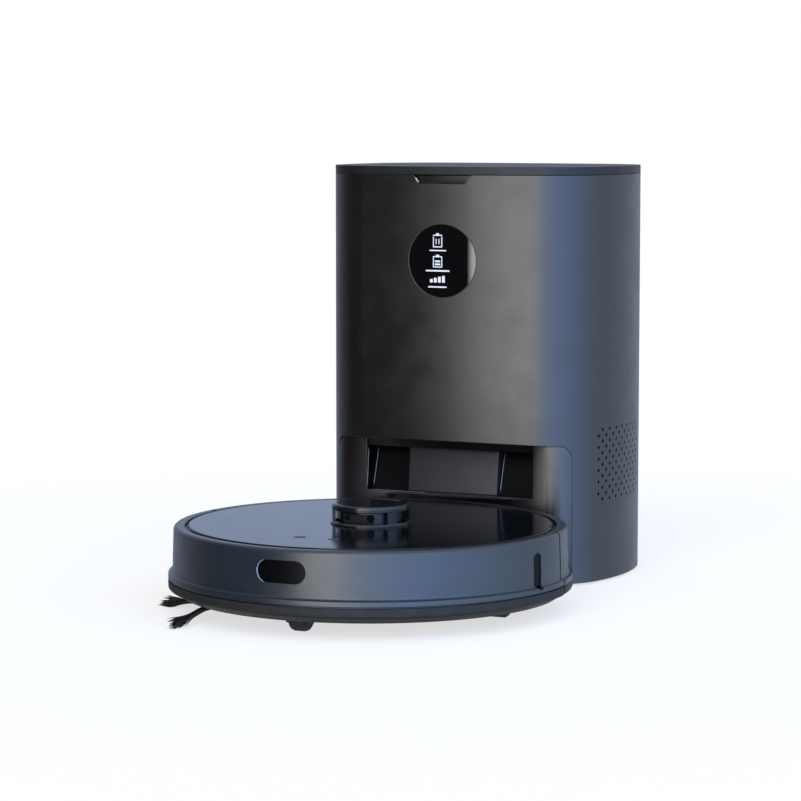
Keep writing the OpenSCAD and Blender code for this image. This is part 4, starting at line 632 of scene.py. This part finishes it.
# painted highlight: a pale blue-grey crescent on the lip's edge
crescent_highlight_paint = finish("painted_crescent_abs", "#6d7c86", 0.25, drift=0.05, Specular__IOR__Level=0.9)
lip_shape = tubes(lip[None], LIP_THICK * taper[None], sides=8)
add_piece("window_lip", lip_shape, "front_bumper", "robot_plastic", crescent_highlight_paint)
print("bumper skin at", round(1000 * float(skin_reach), 2), "mm from the robot's middle")

# %% [markdown]
# ## The side brush's bristles
# A brush maker folds bundles of nylon monofilament and crimps each into a rubber arm. In use
# the tips take a set and stick together in clumps. Every bristle is a thin tube: bundled over
# its first half, then splayed towards its clump's own place, and drooping to just over the
# floor. Real bristles are 0.2 mm thick; they are drawn at 0.8 mm, so that 120 fill a bundle.

# %% Bristles
BRUSH_X, BRUSH_Y = -0.098, -0.1875  # the brush's axle
ARM_TURNS = (-91, 29, 157)
BUNDLE_START, BRUSH_REACH = 0.022, 0.0788
CLUMPS = 7
BUNDLE_HALF, SPLAY_HALF = 0.0019, 0.0062  # half a bundle's width, and its tips' spread
ROOT_Z, DROOP, FLOOR_GAP = 0.0098, 0.0066, 0.0009
LIFT_HALF, LIFT_GROWTH, CURL = 0.0016, 0.0014, 0.0026
BRISTLE_RADIUS = 0.00040
STRAY, WANDER = 0.12, 0.0005  # spread of a bristle's choice of clump, and of its tip's place
SHORTEST, BARREL = 0.84, 0.08  # the shortest bristle's share, and the loss at a bundle's sides


def from_arm(turn, out, side, up):
    """Points given out along an arm, sideways and up, turned about the brush's axle."""
    a = math.radians(turn)
    x = BRUSH_X + out * math.cos(a) - side * math.sin(a)
    y = BRUSH_Y + out * math.sin(a) + side * math.cos(a)
    return np.stack([x, y, up], -1)


def bristle_bundle(turn, rng, count=120, steps=10):
    """Bristles of one arm. Out: from 22 mm to the reach. Side: root place, and the clump's
    place*splay, where splay = ((t - 0.45)/0.55)^1.6 beyond t = 0.45. Height: 9.8 mm -
    6.6 mm*t^1.2, with each clump curling up or down by 2.6 mm*splay, over the floor gap."""
    t = np.linspace(0, 1, steps)
    root = rng.uniform(-1, 1, count)
    clump = np.round((root + rng.normal(0, STRAY, count)) * CLUMPS / 2) / (CLUMPS / 2)
    length = BRUSH_REACH * rng.uniform(SHORTEST, 1.0, count) * (1 - BARREL * root**2)
    wander = rng.normal(0, WANDER, (count, 1)) * t**2
    height = rng.uniform(-1, 1, count)[:, None]
    root, clump, length = root[:, None], clump[:, None], length[:, None]
    splay = np.clip((t - 0.45) / 0.55, 0, 1) ** 1.6
    out = BUNDLE_START + (length - BUNDLE_START) * t
    side = BUNDLE_HALF * root * (1 - 0.3 * splay) + SPLAY_HALF * clump * splay + wander
    curl = np.sin(2.4 * clump + math.radians(turn))
    lift = height * LIFT_HALF + (LIFT_GROWTH * height + CURL * curl) * splay
    z = ROOT_Z - DROOP * t**1.2 + lift
    return from_arm(turn, out, side, np.maximum(z, FLOOR_GAP))


rng = np.random.default_rng(7)
bundles = np.concatenate([bristle_bundle(turn, rng) for turn in ARM_TURNS])
thickness = np.full(bundles.shape[:2], BRISTLE_RADIUS)
thickness[:, -1] = 1e-8  # each bristle ends in a point
bristles = tubes(bundles, thickness, sides=5)
add_piece("side_brush_bristles", bristles, "corner_brush", "bristle")

# %% [markdown]
# ## The side brush's arms and hub
# The three arms are soft rubber, moulded in one piece with a hub that clips on the axle, so
# they bend over a carpet's edge. Each arm is a tapering rounded bar, closed at its tip where
# the bristles are crimped in; the hub is a turned shape with a flange and a stem.

# %% Arms and hub
ARM_STEPS, ARM_SIDES = 12, 16
ARM_START, ARM_LONG = 0.006, 0.029
ARM_WIDE, ARM_TALL = (0.0042, 0.0014), (0.0024, 0.0006)  # at the hub, and the loss by the tip
ARM_DROOP = 0.0006
HUB_PROFILE = np.array(
    [(0.0, 0.0072), (0.006, 0.0072), (0.0088, 0.0078), (0.0098, 0.009), (0.01, 0.0105),
     (0.01, 0.0126), (0.003, 0.0126), (0.003, 0.0208), (0.0, 0.0208)]
)


def brush_arm(turn):
    """A tapering rounded bar from 6 to 35 mm: an ellipse of half width 4.2 - 1.4t mm and half
    height 2.4 - 0.6t mm, closed over its last tenth by sqrt(1 - s^2)."""
    t = np.linspace(0, 1, ARM_STEPS)[:, None]
    ring = np.linspace(0, 2 * np.pi, ARM_SIDES, endpoint=False)
    end = np.sqrt(np.clip(1 - np.clip((t - 0.9) / 0.1, 0, 1) ** 2, 0.0, 1))
    side = (ARM_WIDE[0] - ARM_WIDE[1] * t) * end * np.cos(ring)
    up = ROOT_Z - ARM_DROOP * t + (ARM_TALL[0] - ARM_TALL[1] * t) * end * np.sin(ring)
    bar_points = from_arm(turn, ARM_START + ARM_LONG * t, side, up)
    return bar_points.reshape(-1, 3), grid_faces(ARM_STEPS, ARM_SIDES, wrap_cols=True)


brush_body = add_piece(
    "side_brush_body",
    together([turned(HUB_PROFILE, BRUSH_X, BRUSH_Y)] + [brush_arm(turn) for turn in ARM_TURNS]),
    "corner_brush", "bristle", FINISHES["rubber"],
)
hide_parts("side_brush")

# %% [markdown]
# ## Inside the scanner's turret
# Through the turret's gap one would see the far side and the room. In the real one, a black
# light trap stands round the rangefinder for just that reason: a turned cup, matt inside.

# %% Light trap
TRAP_RADIUS, TRAP_DEEP, TRAP_BELOW = 0.0133, 0.0085, 0.0008
rotor_low, rotor_high = (np.array(corner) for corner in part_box("lidar_rotor"))
trap_top = rotor_high[2] - TRAP_BELOW
trap_foot = trap_top - TRAP_DEEP
TRAP_PROFILE = np.array(
    [(0.0, trap_foot), (TRAP_RADIUS - 0.0008, trap_foot), (TRAP_RADIUS, trap_foot + 0.0008),
     (TRAP_RADIUS, trap_top - 0.0006), (TRAP_RADIUS - 0.0006, trap_top), (0.0, trap_top)]
)
cup = turned(TRAP_PROFILE, *(rotor_low + rotor_high)[:2] / 2)
add_piece("light_trap", cup, "scanner", "inner_plastic", FINISHES["belly_plastic"])

# %% [markdown]
# ## The dust bag's start
# The bag is two sheets of fleece welded round their rim, fed by the suction through a card
# collar. Empty, it hangs as a soft rounded box, so it starts as a superellipsoid 8 mm smaller
# than its place in the tub on every side.

# %% A rounded box
BAG_POWER = 0.45  # 1 is an ellipsoid, and 0 a box


def bent(values):
    """A cosine or sine raised to the power, with its sign kept: it fills out the corners."""
    return np.sign(values) * np.abs(values) ** BAG_POWER


def rounded_box(low, high, rows=40, cols=80):
    """A superellipsoid: x = w*c(u)*c(v), y = d*c(u)*s(v), z = h*s(u), where c and s are the
    bent cosine and sine."""
    u = np.linspace(-np.pi / 2, np.pi / 2, rows)[:, None]
    v = np.linspace(0, 2 * np.pi, cols, endpoint=False)[None, :]
    x = bent(np.cos(u)) * bent(np.cos(v))
    y = bent(np.cos(u)) * bent(np.sin(v))
    z = bent(np.sin(u)) * np.ones_like(v)
    points = (high + low) / 2 + (high - low) / 2 * np.stack([x, y, z], -1)
    return points.reshape(-1, 3), grid_faces(rows, cols, wrap_cols=True)


BAG_SLACK, COLLAR_GAP = 0.008, 0.004
bag_low, bag_high = (np.array(corner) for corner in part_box("dust_bag"))
bag_high[1] -= COLLAR_GAP
bag = add_piece(
    "dust_bag_fleece", rounded_box(bag_low + BAG_SLACK, bag_high - BAG_SLACK), "dock", "bag_fleece"
)

# %% [markdown]
# ## Air in the bag
# The dock's fan blows the bag up. The start is remeshed to even cells of 5 mm and run as cloth
# with pressure and no gravity, as air does. No point may move more than 6 mm, so the bag stays
# clear of the tub.


# %% Cloth for the bag
def baked_mesh(obj):
    """The object's mesh with its modifiers applied, which are then taken off."""
    shown = obj.evaluated_get(bpy.context.evaluated_depsgraph_get())
    mesh = bpy.data.meshes.new_from_object(shown)
    obj.modifiers.clear()
    return mesh


def blow_up(obj, cell, pressure, most, frames=20):
    """Remeshes to even cells, runs Cloth under pressure, and holds every point within `most`
    of where it started: new = old + move * min(1, most/|move|)."""
    remesh = obj.modifiers.new("cells", "REMESH")
    remesh.mode = "VOXEL"
    remesh.voxel_size = cell
    obj.data = baked_mesh(obj)
    start = triples(obj.data.vertices, "co")
    cloth = obj.modifiers.new("cloth", "CLOTH")
    cloth.settings.use_pressure = True
    cloth.settings.uniform_pressure_force = pressure
    cloth.settings.effector_weights.gravity = 0
    cloth.settings.quality = 5
    cloth.point_cache.frame_start, cloth.point_cache.frame_end = 1, frames
    for step in range(1, frames + 1):
        bpy.context.scene.frame_set(step)
    swollen = baked_mesh(obj)
    move = triples(swollen.vertices, "co") - start
    far = np.linalg.norm(move, axis=1, keepdims=True)
    held = start + move * np.minimum(1, most / np.maximum(far, 1e-9))
    swollen.vertices.foreach_set("co", held.ravel())
    swollen.polygons.foreach_set("use_smooth", [True] * len(swollen.polygons))
    obj.data = swollen
    bpy.context.scene.frame_set(1)
    print("cloth moved at most", round(1000 * float(far.max()), 1), "mm before the limit")


blow_up(bag, cell=0.005, pressure=4.0, most=0.006)
soft = bag.modifiers.new("soft", "SUBSURF")
soft.levels = soft.render_levels = 1
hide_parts("dust_bag")

# %% [markdown]
# ## The bag's welded rim and neck
# The two sheets are welded in a flat flange round the bag, which ripples a little, and a short
# neck of the same fleece joins the bag to its collar. Both are made after the cloth, because
# remeshing would erase them.

# %% Rim and neck
OUTLINE_STEPS = 160
RIM_INNER, RIM_THICK = 0.008, 0.0008  # the rim's inner line from its outer, and its thickness
RIPPLES, RIPPLE_HIGH, RIPPLE_INNER = 13, 0.0008, 0.2
NECK_STEPS, NECK_INSET, NECK_FLARE, NECK_LONG = 6, 0.006, 0.12, 0.012
NECK_END_GAP, NECK_WALL = 0.0002, 0.0006
angles = np.linspace(0, 2 * np.pi, OUTLINE_STEPS, endpoint=False)


def outline(middle, half_w, half_h, y):
    """A rounded outline in an upright plane: x = w*c(a), z = h*s(a), c and s bent."""
    x = middle[0] + half_w * bent(np.cos(angles))
    z = middle[2] + half_h * bent(np.sin(angles))
    return np.stack([x, np.broadcast_to(y, x.shape), z], -1)


bag_mid, bag_half = (bag_low + bag_high) / 2, (bag_high - bag_low) / 2
rim = []
for inset, side in ((RIM_INNER, -1), (0.0, -1), (0.0, 1), (RIM_INNER, 1)):
    ripple = RIPPLE_HIGH * np.sin(RIPPLES * angles) * (RIPPLE_INNER if inset else 1)
    y = bag_mid[1] + side * RIM_THICK / 2 + ripple
    rim.append(outline(bag_mid, bag_half[0] - inset, bag_half[2] - inset, y))
rim_faces = grid_faces(4, OUTLINE_STEPS, wrap_rows=True, wrap_cols=True)
add_piece("dust_bag_rim", (np.concatenate(rim), rim_faces), "dock", "bag_fleece")

collar_low, collar_high = (np.array(corner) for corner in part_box("bag_collar"))
collar_mid, neck_half = (collar_low + collar_high) / 2, (collar_high - collar_low) / 2 - NECK_INSET
neck_start = bag_high[1] - NECK_LONG
neck = []
for step in np.linspace(0, 1, NECK_STEPS):
    flare = 1 + NECK_FLARE * (1 - step)
    y = neck_start + (collar_low[1] - NECK_END_GAP - neck_start) * step
    neck.append(outline(collar_mid, neck_half[0] * flare, neck_half[2] * flare, y))
neck_faces = grid_faces(NECK_STEPS, OUTLINE_STEPS, wrap_cols=True)
sleeve = add_piece("dust_bag_neck", (np.concatenate(neck), neck_faces), "dock", "bag_fleece")
sleeve.modifiers.new("wall", "SOLIDIFY").thickness = NECK_WALL

# %% [markdown]
# ## The studio
# Satin plastic is drawn by what it reflects, so the studio is designed in the round, as a
# photographer would: a tall white softbox just right of straight ahead, running into a bluish
# one on the right, a black flag on the left, and a pale blue wall behind that the polished
# disc mirrors at a low angle. The level is plain: a colour renders about as it is written.

# %% Softboxes round the object
# heading in degrees (0 is straight ahead, positive to the right), radiance, tint
STUDIO = [
    (-180, 0.80, "#dfe8ff"), (-155, 0.98, "#c8daff"), (-122, 0.55, "#d8e2ff"),
    (-98, 0.26, "#f0f0ff"), (-76, 0.03, "#ffffff"), (-16.0, 0.03, "#ffffff"),
    (-15.4, 4.5, "#fffdf8"), (4, 4.5, "#fffdfa"), (15, 4.3, "#d2dff9"), (28, 4.5, "#b0c8f4"),
    (55, 4.5, "#9fbbf2"), (95, 2.7, "#a8c3e6"), (135, 1.2, "#b8cae0"), (180, 0.80, "#dfe8ff"),
]
BRIGHTEST = max(radiance for _, radiance, _ in STUDIO)

world = bpy.data.worlds.new("studio")
bpy.context.scene.world = world
world.use_nodes = True
tree = world.node_tree
tree.nodes.clear()
where = add_node(tree, "ShaderNodeTexCoord")
split = add_node(tree, "ShaderNodeSeparateXYZ", [(where.outputs["Generated"], "Vector")])
ahead = add_node(tree, "ShaderNodeMath", [(split.outputs["Y"], 0)], operation="MULTIPLY")
ahead.inputs[1].default_value = -1
heading = add_node(
    tree, "ShaderNodeMath", [(split.outputs["X"], 0), (ahead.outputs[0], 1)], operation="ARCTAN2"
)
round_share = add_node(
    tree, "ShaderNodeMapRange", [(heading.outputs[0], "Value")],
    From__Min=-math.pi, From__Max=math.pi,
)
ring = add_node(tree, "ShaderNodeValToRGB", [(round_share.outputs["Result"], "Fac")])
stops = ring.color_ramp.elements
while len(stops) < len(STUDIO):
    stops.new(0.5)
# every place comes before any colour, because the ramp sorts its stops when one moves
for stop, (degrees, _, _) in zip(stops, STUDIO):
    stop.position = (degrees + 180) / 360
for stop, (_, radiance, tint) in zip(stops, STUDIO):
    stop.color = [c * radiance / BRIGHTEST for c in rgb(tint)[:3]] + [1]
print(len(STUDIO), "headings in the studio, brightest", BRIGHTEST)

# %% [markdown]
# ## Overhead, underfoot, and what the camera sees
# Above and below, the ring of softboxes fades into a plain level. The camera itself sees pure
# white, as on a cut-out backdrop, while mirrors and matt surfaces see the studio.

# %% Blend the studio upwards and downwards
OVERHEAD, BELOW = 0.9, 0.6  # the plain levels
CEILING, GROUND = (0.6, 0.95), (-0.3, -0.5)  # the view heights where each fade starts and ends


def blend_to(colour_socket, level, start, end):
    """Smoothly blends the studio's colour into a plain level while the view's height goes
    from start to end."""
    amount = add_node(
        tree, "ShaderNodeMapRange", [(split.outputs["Z"], "Value")],
        interpolation_type="SMOOTHSTEP", From__Min=start, From__Max=end,
    )
    blend = add_node(tree, "ShaderNodeMix", [(amount.outputs["Result"], 0)], data_type="RGBA")
    tree.links.new(colour_socket, blend.inputs[6])
    blend.inputs[7].default_value = [level / BRIGHTEST] * 3 + [1]
    return blend.outputs[2]


colour = blend_to(ring.outputs["Color"], OVERHEAD, *CEILING)
colour = blend_to(colour, BELOW, *GROUND)
studio = add_node(tree, "ShaderNodeBackground", [(colour, "Color")], Strength=BRIGHTEST)
plain = add_node(tree, "ShaderNodeBackground", Color=(1, 1, 1, 1), Strength=1.0)
path = add_node(tree, "ShaderNodeLightPath")
mix = add_node(
    tree, "ShaderNodeMixShader",
    [(path.outputs["Is Camera Ray"], 0), (studio.outputs[0], 1), (plain.outputs[0], 2)],
)
add_node(tree, "ShaderNodeOutputWorld", [(mix.outputs[0], "Surface")])
print("world nodes:", len(tree.nodes))

# %% [markdown]
# ## The floor
# A pale matt floor takes the shadow. Near the object it is a third lit and two thirds glowing,
# so the shadow is soft; further out it glides into the white backdrop with no edge. The glow
# is for the camera's rays only, so it puts no light on the object.

# %% Floor
FLOOR_HALF = 6.0
GLOW_NEAR = 0.66  # the glow's share beside the object; it is 1 far out
GLOW_FROM, GLOW_FULL = 0.45, 1.3  # distances from the middle where it starts and stops growing
floor_mesh = bpy.data.meshes.new("floor")
corners = FLOOR_HALF * np.array([(-1, -1, 0), (1, -1, 0), (1, 1, 0), (-1, 1, 0)])
floor_mesh.from_pydata(corners.tolist(), [], [(0, 1, 2, 3)])
floor = bpy.data.objects.new("floor", floor_mesh)
bpy.context.scene.collection.objects.link(floor)
# rolled matt paint: a warm white with hardly a drift
floor_paint = finish("matt_white_floor", "#fffcf4", 0.9, drift=0.004)
tree = floor_paint.node_tree
where = add_node(tree, "ShaderNodeTexCoord")
away = add_node(
    tree, "ShaderNodeVectorMath", [(where.outputs["Object"], 0)], operation="LENGTH"
)
fade = add_node(
    tree, "ShaderNodeMapRange", [(away.outputs["Value"], "Value")],
    interpolation_type="SMOOTHSTEP",
    From__Min=GLOW_FROM, From__Max=GLOW_FULL, To__Min=GLOW_NEAR, To__Max=1.0,
)
path = add_node(tree, "ShaderNodeLightPath")
share = add_node(
    tree, "ShaderNodeMath",
    [(path.outputs["Is Camera Ray"], 0), (fade.outputs["Result"], 1)], operation="MULTIPLY",
)
glow = add_node(tree, "ShaderNodeEmission", Color=(1, 1, 1, 1), Strength=1.0)
seen = add_node(
    tree, "ShaderNodeMixShader",
    [(share.outputs[0], 0), (tree.nodes["Principled BSDF"].outputs[0], 1), (glow.outputs[0], 2)],
)
tree.links.new(seen.outputs[0], tree.nodes["Material Output"].inputs["Surface"])
floor_mesh.materials.append(floor_paint)
floor.visible_glossy = False
print("floor reaches", FLOOR_HALF, "m each way")

# %% [markdown]
# ## The camera
# A long lens from two and a half metres keeps upright edges nearly upright. It stands a
# little above the robot and to the right, so both the disc and the dock's side show.

# %% Camera
CAMERA_AT = (1.0934, -2.3846, 0.4270)
CAMERA_AIM = (-0.41892, 0.90285, -0.09682)
camera_data = bpy.data.cameras.new("camera")
camera_data.lens = 133.2
camera_data.sensor_width = 36
camera_data.clip_end = 50
camera = bpy.data.objects.new("camera", camera_data)
bpy.context.scene.collection.objects.link(camera)
camera.location = CAMERA_AT
camera.rotation_euler = Vector(CAMERA_AIM).to_track_quat("-Z", "Y").to_euler()
bpy.context.scene.camera = camera
bpy.context.scene.view_settings.view_transform = "Standard"
print("camera", round(Vector(CAMERA_AT).length, 2), "m from the middle")
